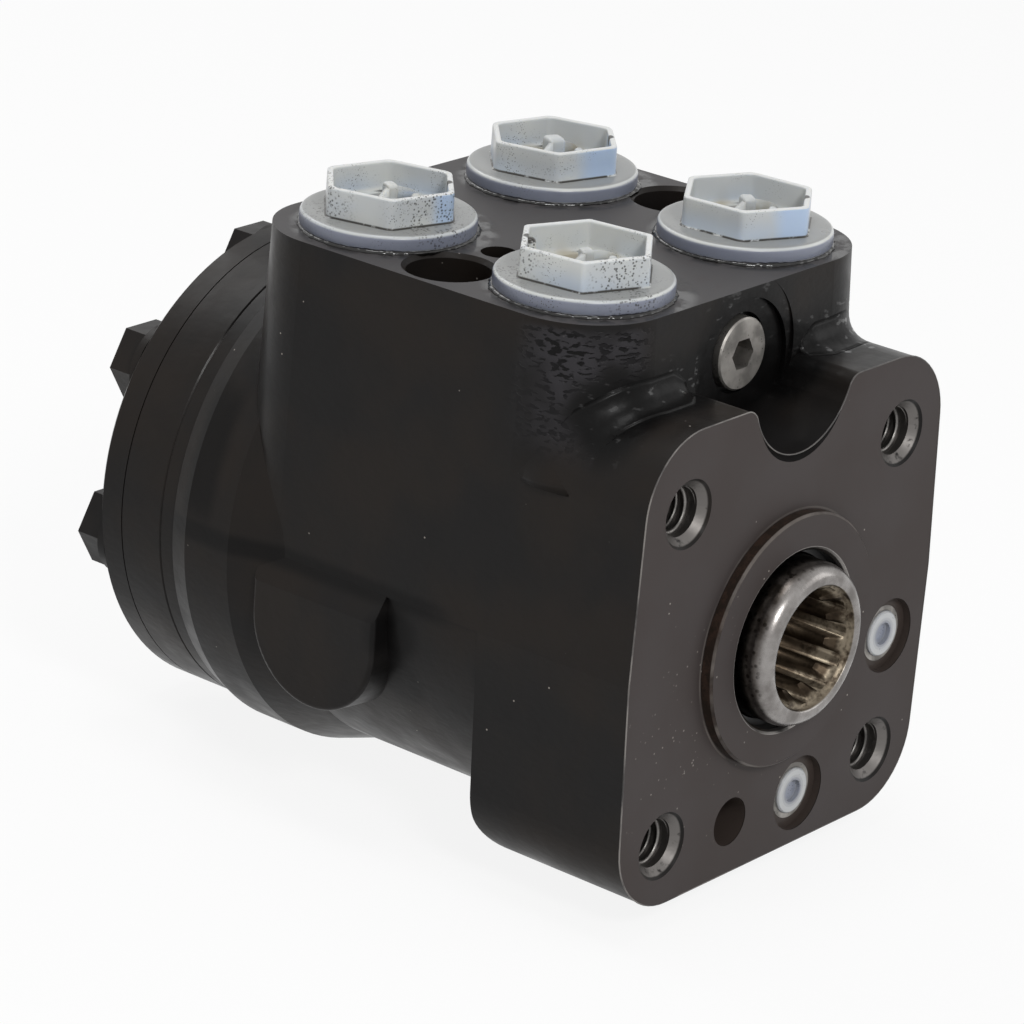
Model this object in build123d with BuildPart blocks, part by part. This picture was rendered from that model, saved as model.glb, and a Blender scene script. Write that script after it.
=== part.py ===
from build123d import *
import os
from math import atan2, cos, degrees, hypot, pi, radians, sin, sqrt, tan

# Orbital (hydrostatic) steering unit: iron valve housing, spool-and-sleeve rotary valve,
# cardan shaft and six-in-seven gear set, in millimetres.
#
# Frame: the steering shaft turns about Y, the mounting face lies in Y = 0 and faces -Y,
# the ports face +Z, and the gear set and its cover close the rear end.

# --- fits and clearances -------------------------------------------------------------
running_fit = 0.03
sliding_fit = 0.06
loose_fit = 0.3
face_gap = 0.02
thread_fit = 0.05
cut_past = 1.0

# --- housing casting -----------------------------------------------------------------
foot_half_width = 40.0
foot_drop = 40.0
parting_height = 2.2
flange_top = 43.2
flange_depth = 32.0
flange_corner = 13.5
flange_heel_radius = 9.0
pilot_radius = 22.2
pilot_height = 2.2
pilot_chamfer = 0.4

barrel_radius = 41.1
rear_rim_radius = 44.7
rear_rim_blend_start = 74.0
rear_rim_start = 85.0
rear_rim_end = 95.0
rear_edge_radius = 43.4
housing_length = 99.1

port_face_height = 57.5
port_face_half_width = 39.0
block_front = 13.3
block_rear = 91.7
block_corner = 15.0
block_draft = 2.4

pad_reach = 44.0
pad_front = 52.0
pad_rear = 79.4
pad_top = -2.0
pad_bottom = -21.5
pad_draft = 5.0
pad_shelf_rise = 6.5
pad_shelf_run = 4.0
pad_edge = 0.8

# --- mounting flange holes -----------------------------------------------------------
mount_spacing = 58.34
mount_thread_radius = 4.25
mount_thread_depth = 20.0
mount_chamfer = 1.7

# --- ports and port face holes -------------------------------------------------------
port_x = 21.5
port_front_row = 30.5
port_rear_row = 73.0
port_thread_radius = 9.32
port_thread_depth = 16.0
port_passage_radius = 5.6
port_passage_floor = 26.0
port_feed_radius = 2.8
port_seat_depth = 2.0
auxiliary_x = 30.0
auxiliary_y = 52.0
auxiliary_radius = 7.25
auxiliary_depth = 16.0
auxiliary_chamfer = 0.75
dowel_x = -17.4
dowel_radius = 3.1
dowel_depth = 9.0

# --- rotary valve --------------------------------------------------------------------
valve_bore_radius = 19.0
gallery_radius = 22.0
gallery_width = 6.0
gallery_stations = (36.5, 48.0, 62.5, 74.0)
gallery_reach = 17.5
spool_radius = 14.25
spool_nose = 6.75
spool_nose_edge = 1.8
spool_mouth_edge = 0.3
spool_length = 101.5
spool_mouth_radius = 10.85
spool_mouth_depth = 1.3
spool_spline_length = 22.1
spline_lead = 2.9
spline_teeth = 12
spline_root_radius = 10.35
spline_tip_radius = 8.45
spline_root_share = 0.40
spline_tip_share = 0.30
spool_web = 2.3
spool_hollow_radius = 11.0
spool_groove_count = 12
spool_groove_width = 2.4
spool_groove_depth = 1.2
spool_groove_length = 22.0
sleeve_groove_depth = 0.9
sleeve_groove_width = 4.0
sleeve_port_radius = 1.5
sleeve_port_count = 6
commutator_hole_radius = 1.1
sleeve_end_gap = 0.3
ring_seat_depth = 1.35
ring_length = 11.0
ring_front_gap = 3.0

# --- centring leaf springs -----------------------------------------------------------
leaf_thickness = 0.45
leaf_width = 6.4
leaf_half_length = 17.0
leaf_bow = 1.5
leaf_gap = 0.02
leaf_slot_side_gap = 0.15

# --- cross pin and cardan shaft ------------------------------------------------------
pin_station = 60.0
pin_radius = 3.6
pin_end_gap = 0.35
deflection_limit = 10.0
fork_radius = 9.9
fork_front = 5.8
fork_length = 12.0
fork_slot_run = 1.1
shaft_radius = 6.3
head_length = 6.0
head_lead = 0.9
head_crown = 0.5
spline_lash = 0.38
spline_share_cut = 0.15
spacer_thickness = 1.4
spacer_radius = 7.7

# --- shaft seals and thrust bearing --------------------------------------------------
seal_mouth_radius = 15.6
seal_mouth_chamfer = 0.7
dust_groove_front = 1.0
dust_groove_width = 3.4
dust_groove_radius = 17.6
seal_land = 1.5
seal_land_radius = 14.8
shaft_groove_width = 3.6
shaft_groove_radius = 17.7
bearing_race_thickness = 1.5
needle_radius = 1.25
needle_count = 16
cage_thickness = 1.9
race_bore_radius = 14.6
race_rim_gap = 0.15
seal_lip_drop = 0.5

# --- gear set and cover --------------------------------------------------------------
plate_thickness = 3.4
gear_width = 9.4
cover_thickness = 5.5
gear_set_radius = 43.0
lobe_count = 7
lobe_pitch_radius = 31.6
lobe_radius = 6.5
eccentricity = 3.2
rotor_lash = 0.04
pocket_clearance = 0.2
rotor_points = 96
plate_bore_radius = 12.4
feed_pitch_radius = 25.3
feed_radius = 2.1
feed_depth = 19.0
cover_edge = 0.9
plate_edge = 0.25

bolt_circle_radius = 34.3
bolt_radius = 4.0
bolt_hole_clearance = 0.3
bolt_head_width = 13.0
bolt_head_height = 5.3
bolt_thread_depth = 16.0
washer_radius = 8.0
washer_thickness = 1.6
locator_pin_radius = 1.5
locator_pin_length = 7.0
locator_pin_bite = 3.0

face_seal_radius = 40.4
face_seal_wire = 0.75
face_seal_side_gap = 0.3

# --- valves in the housing -----------------------------------------------------------
relief_height = 46.2
relief_head_radius = 6.25
relief_head_front = 13.2
relief_plug_length = 12.0
relief_socket = 5.0
relief_socket_depth = 5.0
relief_pocket_radius = 7.0
relief_bore_radius = 4.6
relief_spring_radius = 3.1
relief_wire = 0.55
relief_turns = 5
relief_spring_length = 11.0
relief_poppet_length = 7.0
relief_passage_radius = 2.2
relief_passage_drop = 6.0
relief_seat_radius = 2.0
relief_seat_depth = 6.0
relief_pocket_depth = 1.6
spot_radius = 12.2
spot_height = 43.6
spot_floor = 14.2
scallop_radius = 13.4
scallop_height = 46.1
scallop_lip = 3.0

shock_far = 31.0
shock_near = 8.3
shock_mouth_radius = 6.7
shock_mouth_depth = 1.5
shock_thread_radius = 5.0
shock_screw_length = 10.0
shock_cup_radius = 4.15
shock_cup_depth = 4.6
shock_cap_proud = 0.5
shock_bore_radius = 3.6
shock_spring_radius = 2.3
shock_wire = 0.5
shock_turns = 5
shock_spring_length = 9.0
shock_ball_radius = 2.7
shock_feed_radius = 1.4
shock_seat_radius = 1.7
shock_key_width = 4.0
shock_key_depth = 2.5
shock_cap_dimple = 0.8

core_hole_x = -10.7
core_hole_z = -30.5
core_hole_radius = 4.3
core_hole_depth = 18.0

suction_depth = 14.0
suction_radius = 2.7
suction_ball_radius = 2.5
suction_seat_radius = 1.6
suction_pin_radius = 1.5
suction_lift = 2.0
suction_angles = (244.2857, 295.7143)
suction_pitch_radius = 25.3

check_ball_radius = 4.3
check_bush_top = 40.5
check_bush_length = 6.0
check_bush_bore = 3.3

# --- transport plugs -----------------------------------------------------------------
plug_flange_radius = 15.0
plug_flange_thickness = 3.1
plug_flange_edge = 0.5
plug_hex_width = 21.2
plug_hex_height = 5.4
plug_wall = 1.7
plug_shank_length = 11.0
plug_web_thickness = 1.6
plug_web_drop = 1.8
plug_post_radius = 1.9
plug_hex_corner = 0.6
plug_turns = (37.0, 34.0, 42.8, 43.5)

# --- places that follow from the sizes above -----------------------------------------
draft_run = tan(radians(block_draft))
side_half_width = port_face_half_width + (port_face_height - parting_height) * draft_run
shoulder_half_width = port_face_half_width + (port_face_height - flange_top) * draft_run
plate_front = housing_length
gear_front = plate_front + plate_thickness
cover_front = gear_front + gear_width
cover_rear = cover_front + cover_thickness
head_seat = cover_rear + washer_thickness
shaft_groove_front = dust_groove_front + dust_groove_width + seal_land
bearing_front = shaft_groove_front + shaft_groove_width + seal_land
cage_front = bearing_front + bearing_race_thickness
rear_race_front = cage_front + 2 * needle_radius
sleeve_front = rear_race_front + bearing_race_thickness
sleeve_rear = housing_length - sleeve_end_gap
sleeve_radius = valve_bore_radius - running_fit
sleeve_bore_radius = spool_radius + running_fit
ring_seat_radius = sleeve_radius - ring_seat_depth
ring_front = sleeve_front + ring_front_gap
leaf_station = ring_front + ring_length / 2
spline_front = -spool_nose + spool_mouth_depth
spline_rear = spline_front + spool_spline_length
hollow_front = spline_rear + spool_web
spool_rear = spool_length - spool_nose
leaf_stack = 3 * leaf_thickness + 3 * leaf_gap
leaf_slot_half = leaf_stack + leaf_bow + leaf_gap
spool_pin_hole = pin_radius + spool_radius * sin(radians(deflection_limit)) + loose_fit
tooth_angle = 360 / spline_teeth
bolt_angles = [90 + 360 / lobe_count * n for n in range(lobe_count)]
feed_angles = [angle + 180 / lobe_count for angle in bolt_angles]
head_station = gear_front + gear_width / 2 - head_lead
cardan_tilt = degrees(atan2(eccentricity, head_station - pin_station))
port_places = (
    (-port_x, port_front_row),
    (port_x, port_front_row),
    (-port_x, port_rear_row),
    (port_x, port_rear_row),
)
shock_places = ((shock_far, -shock_near), (shock_near, -shock_far))
shock_screw_front = shock_mouth_depth
shock_spring_front = shock_screw_front + shock_screw_length
shock_seat_drop = sqrt(shock_ball_radius**2 - shock_seat_radius**2)
shock_ball_station = shock_spring_front + shock_spring_length + shock_ball_radius
shock_floor = shock_ball_station + shock_seat_drop
relief_plug_rear = relief_head_front + relief_plug_length
relief_seat = relief_plug_rear + relief_spring_length + relief_poppet_length
relief_pocket_floor = spot_floor + relief_pocket_depth
face_seal_depth = 2 * face_seal_wire
face_seal_half_width = face_seal_wire + face_seal_side_gap
pad_shelf_top = pad_top + pad_shelf_rise
suction_floor = housing_length - suction_depth


# --- helpers -------------------------------------------------------------------------
def facing_front(y):
    """Plane square to the shaft at station y: sketch x is X and sketch y is Z."""
    return Plane(origin=(0, y, 0), x_dir=(1, 0, 0), z_dir=(0, -1, 0))


def polar(radius, angle):
    """Point (x, z) at a radius and an angle about the shaft."""
    return (radius * cos(radians(angle)), radius * sin(radians(angle)))


def turn(outline, mode=Mode.ADD):
    """Turn a closed (y, radius) outline about the shaft axis."""
    with BuildSketch(Plane.YZ) as section:
        with BuildLine():
            Polyline(*outline, close=True)
        make_face()
    revolve(section.sketch, axis=Axis.Y, mode=mode)


def rod(front, rear, radius, places=((0, 0),), mode=Mode.ADD):
    """Round bars or bores along Y from front to rear at (x, z) places."""
    with BuildSketch(facing_front(front)) as ends:
        with Locations(*places):
            Circle(radius)
    extrude(ends.sketch, amount=front - rear, mode=mode)


def drill(start, end, radius, mode=Mode.SUBTRACT):
    """Straight drilling from one point to another."""
    run = Vector(*end) - Vector(*start)
    with BuildSketch(Plane(origin=start, z_dir=run)) as mouth:
        Circle(radius)
    extrude(mouth.sketch, amount=run.length, mode=mode)


def spline_outline(root, tip, root_share, tip_share):
    """Closed outline of straight-sided teeth between two radii, shares of the pitch."""
    points = []
    for n in range(spline_teeth):
        middle = n * tooth_angle
        for side in (-1, 1):
            points.append((root, middle + side * tooth_angle * root_share / 2))
        for side in (-1, 1):
            gap = tooth_angle / 2
            points.append((tip, middle + gap + side * tooth_angle * tip_share / 2))
    return [polar(radius, angle) for radius, angle in points]


def coil(front, rear, radius, wire, turns, place):
    """Wire spring along Y between two stations, its ends buried in no neighbour."""
    pitch = (rear - front - 2 * wire) / turns
    with BuildLine() as centre:
        Helix(
            pitch=pitch,
            height=pitch * turns,
            radius=radius,
            center=(place[0], front + wire, place[1]),
            direction=(0, 1, 0),
        )
    line = centre.line
    with BuildSketch(Plane(origin=line @ 0, z_dir=line % 0)) as wire_end:
        Circle(wire)
    sweep(wire_end.sketch, path=line, is_frenet=True)


def face_seal_groove(face, depth):
    """Ring groove for a face seal, cut from a face towards +Y or, if negative, -Y."""
    turn(
        [
            (face, face_seal_radius - face_seal_half_width),
            (face + depth, face_seal_radius - face_seal_half_width),
            (face + depth, face_seal_radius + face_seal_half_width),
            (face, face_seal_radius + face_seal_half_width),
        ],
        mode=Mode.SUBTRACT,
    )


def write(solid, name):
    """Label a finished piece and store it as its own STEP file."""
    solid.label = name
    export_step(solid, f"parts/{name}.step")


os.makedirs("parts", exist_ok=True)

# --- housing: flange, barrel, port block and valve bores ------------------------------
with BuildPart() as housing:
    # Drafted flange outline, widest at the parting line, with the valve scallop on top.
    with BuildSketch(facing_front(0)) as flange_outline:
        Polygon(
            (-foot_half_width, -foot_drop),
            (foot_half_width, -foot_drop),
            (side_half_width, parting_height),
            (shoulder_half_width, flange_top),
            (-shoulder_half_width, flange_top),
            (-side_half_width, parting_height),
            align=None,
        )
        corners = [v for v in flange_outline.vertices() if abs(v.Y - parting_height) > cut_past]
        fillet(corners, flange_corner)
        with Locations((0, scallop_height)):
            Circle(scallop_radius, mode=Mode.SUBTRACT)
        lips = flange_outline.vertices().filter_by(
            lambda v: abs(v.X) < scallop_radius and v.Y > flange_top - cut_past
        )
        fillet(lips, scallop_lip)
    extrude(amount=-flange_depth)
    # The heel behind the flange's foot is rounded.
    with BuildSketch(Plane.YZ) as heel:
        with Locations((flange_depth, -foot_drop)):
            Rectangle(flange_heel_radius, flange_heel_radius, align=(Align.MAX, Align.MIN))
        with Locations((flange_depth - flange_heel_radius, -foot_drop + flange_heel_radius)):
            Circle(flange_heel_radius, mode=Mode.SUBTRACT)
    extrude(amount=side_half_width, both=True, mode=Mode.SUBTRACT)
    # Port block, drafted down to the parting line from the machined port face.
    with BuildSketch(
        Plane(origin=(0, 0, port_face_height), x_dir=(1, 0, 0), z_dir=(0, 0, -1))
    ) as port_face:
        with Locations((0, -(block_front + block_rear) / 2)):
            RectangleRounded(2 * port_face_half_width, block_rear - block_front, block_corner)
    extrude(amount=port_face_height - parting_height, taper=-block_draft)
    # Round barrel, and the thicker rim that carries the gear set.
    turn(
        [
            (flange_depth / 2, 0),
            (flange_depth / 2, barrel_radius),
            (rear_rim_blend_start, barrel_radius),
            (rear_rim_start, rear_rim_radius),
            (rear_rim_end, rear_rim_radius),
            (housing_length, rear_edge_radius),
            (housing_length, 0),
        ]
    )
    # D-shaped cast pad on each side of the barrel.
    pad_round = (pad_rear - pad_front) / 2
    pad_middle = (pad_rear + pad_front) / 2
    for side in (-1, 1):
        face = Plane(origin=(side * pad_reach, 0, 0), x_dir=(0, -side, 0), z_dir=(-side, 0, 0))
        with BuildPart() as pad:
            with BuildSketch(face):
                with Locations((-side * pad_middle, pad_bottom + pad_round)):
                    Circle(pad_round)
                    Rectangle(
                        2 * pad_round,
                        pad_shelf_top - pad_bottom - pad_round,
                        align=(Align.CENTER, Align.MIN),
                    )
                with Locations((-side * pad_middle, pad_shelf_top)):
                    Rectangle(
                        2 * pad_round,
                        pad_round,
                        align=(Align.CENTER, Align.MIN),
                        mode=Mode.SUBTRACT,
                    )
            extrude(amount=pad_reach / 2, taper=-pad_draft)
            # Shelf that slopes from the flat face in under the port block.
            with BuildSketch(facing_front(0)) as above_shelf:
                Polygon(
                    (side * pad_reach, pad_top),
                    (side * (pad_reach - pad_shelf_run), pad_shelf_top),
                    (side * (pad_reach - pad_shelf_run), pad_shelf_top + pad_round),
                    (side * pad_reach, pad_shelf_top + pad_round),
                    align=None,
                )
            extrude(above_shelf.sketch, amount=-housing_length, mode=Mode.SUBTRACT)
            flat = pad.faces().sort_by(Axis.X)[-1 if side > 0 else 0]
            fillet(flat.edges(), pad_edge)
    # Machined pilot that centres the steering column.
    turn(
        [
            (0, 0),
            (0, pilot_radius),
            (-pilot_height + pilot_chamfer, pilot_radius),
            (-pilot_height, pilot_radius - pilot_chamfer),
            (-pilot_height, 0),
        ]
    )
    # Scallop and spot face that give a tool room to reach the relief valve.
    rod(0, block_front, scallop_radius, [(0, scallop_height)], Mode.SUBTRACT)
    rod(0, spot_floor, spot_radius, [(0, spot_height)], Mode.SUBTRACT)
    # Seal mouth, seal grooves and bearing seat, then the long valve bore.
    turn(
        [
            (-pilot_height, 0),
            (-pilot_height, seal_mouth_radius + seal_mouth_chamfer),
            (-pilot_height + seal_mouth_chamfer, seal_mouth_radius),
            (dust_groove_front, seal_mouth_radius),
            (dust_groove_front, dust_groove_radius),
            (dust_groove_front + dust_groove_width, dust_groove_radius),
            (dust_groove_front + dust_groove_width, seal_land_radius),
            (shaft_groove_front, seal_land_radius),
            (shaft_groove_front, shaft_groove_radius),
            (shaft_groove_front + shaft_groove_width, shaft_groove_radius),
            (shaft_groove_front + shaft_groove_width, seal_land_radius),
            (bearing_front, seal_land_radius),
            (bearing_front, valve_bore_radius),
            (housing_length, valve_bore_radius),
            (housing_length, 0),
        ],
        mode=Mode.SUBTRACT,
    )
    # Ring galleries that join the ports to the valve.
    for station in gallery_stations:
        turn(
            [
                (station - gallery_width / 2, gallery_reach),
                (station - gallery_width / 2, gallery_radius),
                (station + gallery_width / 2, gallery_radius),
                (station + gallery_width / 2, gallery_reach),
            ],
            mode=Mode.SUBTRACT,
        )
    # Four ports, each with its thread bore, its passage and a feed to its own gallery.
    for (x, y), station in zip(port_places, gallery_stations):
        side = 1 if x > 0 else -1
        mouth = (x, y, port_face_height)
        floor = (x, y, port_passage_floor)
        feed_start = (x, y, port_passage_floor - port_seat_depth)
        drill(mouth, (x, y, port_face_height - port_thread_depth), port_thread_radius)
        drill(mouth, floor, port_passage_radius)
        drill(floor, feed_start, port_feed_radius)
        drill(feed_start, (side * gallery_reach, station, 0), port_feed_radius)
    # Plain auxiliary bores and the locating hole in the port face.
    for side in (-1, 1):
        mouth = (side * auxiliary_x, auxiliary_y, port_face_height)
        floor = (side * auxiliary_x, auxiliary_y, port_face_height - auxiliary_depth)
        drill(mouth, floor, auxiliary_radius)
        with Locations(mouth):
            Cone(
                auxiliary_radius,
                auxiliary_radius + auxiliary_chamfer,
                auxiliary_chamfer,
                align=(Align.CENTER, Align.CENTER, Align.MAX),
                mode=Mode.SUBTRACT,
            )
    mouth = (dowel_x, auxiliary_y, port_face_height)
    drill(mouth, (dowel_x, auxiliary_y, port_face_height - dowel_depth), dowel_radius)
    # Tapped mounting holes with wide chamfers.
    with BuildSketch(facing_front(0)) as mount_mouths:
        with GridLocations(mount_spacing, mount_spacing, 2, 2):
            Circle(mount_thread_radius + mount_chamfer)
    extrude(mount_mouths.sketch, amount=-mount_chamfer, taper=45, mode=Mode.SUBTRACT)
    half = mount_spacing / 2
    corners = [(-half, -half), (-half, half), (half, -half), (half, half)]
    rod(0, mount_thread_depth, mount_thread_radius, corners, Mode.SUBTRACT)
    # Plain core hole low on the flange face.
    core_hole = [(core_hole_x, core_hole_z)]
    rod(0, core_hole_depth, core_hole_radius, core_hole, Mode.SUBTRACT)
    # Stepped bores of the two shock valves and their feeds to the work galleries.
    rod(0, shock_mouth_depth, shock_mouth_radius, shock_places, Mode.SUBTRACT)
    rod(0, shock_spring_front, shock_thread_radius + thread_fit, shock_places, Mode.SUBTRACT)
    rod(0, shock_floor, shock_bore_radius, shock_places, Mode.SUBTRACT)
    for (x, z), station in zip(shock_places, gallery_stations[2:]):
        rod(0, station, shock_seat_radius, [(x, z)], Mode.SUBTRACT)
        turn_in = gallery_reach / hypot(x, z)
        drill((x, station, z), (x * turn_in, station, z * turn_in), shock_feed_radius)
    # Relief valve bore behind the spot face, with its passages from supply and to tank.
    relief_place = [(0, relief_height)]
    rod(spot_floor, relief_pocket_floor, relief_pocket_radius, relief_place, Mode.SUBTRACT)
    relief_thread = relief_head_radius + thread_fit
    rod(spot_floor, relief_plug_rear, relief_thread, relief_place, Mode.SUBTRACT)
    rod(spot_floor, relief_seat, relief_bore_radius, relief_place, Mode.SUBTRACT)
    rod(relief_seat, relief_seat + relief_seat_depth, relief_seat_radius, relief_place, Mode.SUBTRACT)
    supply = (-port_x, port_front_row, relief_height - relief_passage_drop)
    seat_back = (0, relief_seat + relief_seat_depth - relief_passage_radius, relief_height)
    drill(supply, seat_back, relief_passage_radius)
    tank = (port_x, port_front_row, relief_height - relief_passage_drop)
    drill(tank, (0, port_front_row, relief_height), relief_passage_radius)
    # Rear face: bolt threads, feeds to the gear pockets, suction valves and seal groove.
    bolt_places = [polar(bolt_circle_radius, angle) for angle in bolt_angles]
    bolt_thread_front = housing_length - bolt_thread_depth
    rod(bolt_thread_front, housing_length, bolt_radius + thread_fit, bolt_places, Mode.SUBTRACT)
    feed_places = [polar(feed_pitch_radius, angle) for angle in feed_angles]
    rod(housing_length - feed_depth, housing_length, feed_radius, feed_places, Mode.SUBTRACT)
    for angle in feed_angles:
        x, z = polar(feed_pitch_radius, angle)
        inner_x, inner_z = polar(gallery_reach, angle)
        station = housing_length - feed_depth + feed_radius
        drill((x, station, z), (inner_x, station, inner_z), feed_radius - loose_fit)
    suction_places = [polar(suction_pitch_radius, angle) for angle in suction_angles]
    rod(suction_floor, housing_length, suction_radius, suction_places, Mode.SUBTRACT)
    for (x, z), station in zip(suction_places, gallery_stations[2:]):
        rod(station, housing_length, suction_seat_radius, [(x, z)], Mode.SUBTRACT)
        turn_in = gallery_reach / suction_pitch_radius
        drill((x, station, z), (x * turn_in, station, z * turn_in), suction_seat_radius)
    face_seal_groove(housing_length, -face_seal_depth)
write(housing.part, "housing")

# --- shaft seals and thrust bearing ---------------------------------------------------
with BuildPart() as dust_seal:
    lip_depth = dust_groove_width / 3
    turn(
        [
            (dust_groove_front, dust_groove_radius),
            (dust_groove_front, spool_radius + loose_fit),
            (dust_groove_front + lip_depth, spool_radius + running_fit),
            (dust_groove_front + 2 * lip_depth, spool_radius + running_fit),
            (dust_groove_front + dust_groove_width, seal_land_radius),
            (dust_groove_front + dust_groove_width, dust_groove_radius),
        ]
    )
write(dust_seal.part, "dust_seal")

with BuildPart() as shaft_seal:
    turn(
        [
            (shaft_groove_front, shaft_groove_radius),
            (shaft_groove_front, spool_radius + running_fit + seal_lip_drop),
            (shaft_groove_front + seal_lip_drop, spool_radius + running_fit),
            (shaft_groove_front + shaft_groove_width - seal_lip_drop, spool_radius + running_fit),
            (shaft_groove_front + shaft_groove_width, spool_radius + running_fit + seal_lip_drop),
            (shaft_groove_front + shaft_groove_width, shaft_groove_radius),
        ]
    )
write(shaft_seal.part, "shaft_seal")

race_radius = valve_bore_radius - race_rim_gap
with BuildPart() as front_race:
    rod(bearing_front, cage_front, race_radius)
    rod(bearing_front, cage_front, race_bore_radius, mode=Mode.SUBTRACT)
write(front_race.part, "front_bearing_race")

with BuildPart() as rear_race:
    rod(rear_race_front, sleeve_front, race_radius)
    rod(rear_race_front, sleeve_front, race_bore_radius, mode=Mode.SUBTRACT)
write(rear_race.part, "rear_bearing_race")

needle_length = race_radius - race_bore_radius - 4 * race_rim_gap
needle_middle = (race_radius + race_bore_radius) / 2
needle_station = cage_front + needle_radius
with BuildPart() as needle_cage:
    rod(needle_station - cage_thickness / 2, needle_station + cage_thickness / 2, race_radius)
    rod(
        needle_station - cage_thickness / 2,
        needle_station + cage_thickness / 2,
        race_bore_radius,
        mode=Mode.SUBTRACT,
    )
    with BuildSketch(facing_front(needle_station)) as windows:
        with PolarLocations(needle_middle, needle_count):
            Rectangle(needle_length + 2 * sliding_fit, 2 * needle_radius + 2 * sliding_fit)
    extrude(amount=cage_thickness, both=True, mode=Mode.SUBTRACT)
write(needle_cage.part, "needle_cage")

with BuildPart() as needles:
    with BuildSketch(Plane.XY.offset(0)) as needle_end:
        Circle(needle_radius - face_gap / 2)
    needle_bar = extrude(needle_end.sketch, amount=needle_length, mode=Mode.PRIVATE)
    for n in range(needle_count):
        angle = 360 / needle_count * n
        x, z = polar(needle_middle - needle_length / 2, angle)
        aim_x, aim_z = polar(1, angle)
        add(Plane(origin=(x, needle_station, z), z_dir=(aim_x, 0, aim_z)) * needle_bar)
write(needles.part, "bearing_needles")

# --- rotary valve: sleeve, spool, centring springs and cross pin -----------------------
with BuildPart() as sleeve:
    turn(
        [
            (sleeve_front, sleeve_bore_radius),
            (sleeve_front, ring_seat_radius),
            (ring_front + ring_length, ring_seat_radius),
            (ring_front + ring_length, sleeve_radius),
            (sleeve_rear, sleeve_radius),
            (sleeve_rear, sleeve_bore_radius),
        ]
    )
    # Ring grooves opposite the galleries, each with a ring of ports to the spool.
    for station in gallery_stations:
        if station > ring_front + ring_length + sleeve_groove_width:
            turn(
                [
                    (station - sleeve_groove_width / 2, sleeve_radius - sleeve_groove_depth),
                    (station - sleeve_groove_width / 2, sleeve_radius + cut_past),
                    (station + sleeve_groove_width / 2, sleeve_radius + cut_past),
                    (station + sleeve_groove_width / 2, sleeve_radius - sleeve_groove_depth),
                ],
                mode=Mode.SUBTRACT,
            )
            for n in range(sleeve_port_count):
                x, z = polar(sleeve_radius + cut_past, (n + 0.25) * 360 / sleeve_port_count)
                inner_x, inner_z = polar(spool_radius - cut_past, (n + 0.25) * 360 / sleeve_port_count)
                drill((x, station, z), (inner_x, station, inner_z), sleeve_port_radius)
    # Commutator holes that sweep past the gear pocket feeds.
    for n in range(2 * (lobe_count - 1)):
        angle = n * 180 / (lobe_count - 1)
        x, z = polar(sleeve_radius + cut_past, angle)
        inner_x, inner_z = polar(spool_radius - cut_past, angle)
        station = housing_length - feed_depth + feed_radius
        drill((x, station, z), (inner_x, station, inner_z), commutator_hole_radius)
    # Slot for the leaf springs and tight holes for the cross pin.
    with BuildSketch(Plane.YZ) as leaf_slot:
        with Locations((leaf_station, 0)):
            Rectangle(leaf_width + 2 * leaf_slot_side_gap, 2 * leaf_slot_half)
    extrude(amount=sleeve_radius + cut_past, both=True, mode=Mode.SUBTRACT)
    past_sleeve = sleeve_radius + cut_past
    drill((-past_sleeve, pin_station, 0), (past_sleeve, pin_station, 0), pin_radius)
write(sleeve.part, "control_sleeve")

with BuildPart() as spring_ring:
    rod(ring_front, ring_front + ring_length, valve_bore_radius - 2 * running_fit)
    rod(ring_front, ring_front + ring_length, ring_seat_radius, mode=Mode.SUBTRACT)
write(spring_ring.part, "spring_retaining_ring")

with BuildPart() as cross_pin:
    drill(
        (-ring_seat_radius - pin_end_gap, pin_station, 0),
        (ring_seat_radius + pin_end_gap, pin_station, 0),
        pin_radius,
        Mode.ADD,
    )
write(cross_pin.part, "cross_pin")

with BuildPart() as leaves:
    # Two flat leaves back to back, and two bowed leaves nested on each side of them.
    flat_middle = (leaf_thickness + leaf_gap) / 2
    for side in (-1, 1):
        with BuildSketch(facing_front(leaf_station + leaf_width / 2)) as flat_leaf:
            with Locations((0, side * flat_middle)):
                Rectangle(2 * leaf_half_length, leaf_thickness)
        extrude(flat_leaf.sketch, amount=leaf_width)
        for layer in (1, 2):
            low = side * layer * (leaf_thickness + leaf_gap)
            high = low + side * leaf_thickness
            bow = side * leaf_bow
            with BuildSketch(facing_front(leaf_station + leaf_width / 2)) as bowed_leaf:
                with BuildLine():
                    for rise in (low, high):
                        ends = [(way * leaf_half_length, rise + bow) for way in (-1, 1)]
                        ThreePointArc(ends[0], (0, rise), ends[1])
                    for way in (-leaf_half_length, leaf_half_length):
                        Line((way, low + bow), (way, high + bow))
                make_face()
            extrude(bowed_leaf.sketch, amount=leaf_width)
write(leaves.part, "centring_springs")

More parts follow.
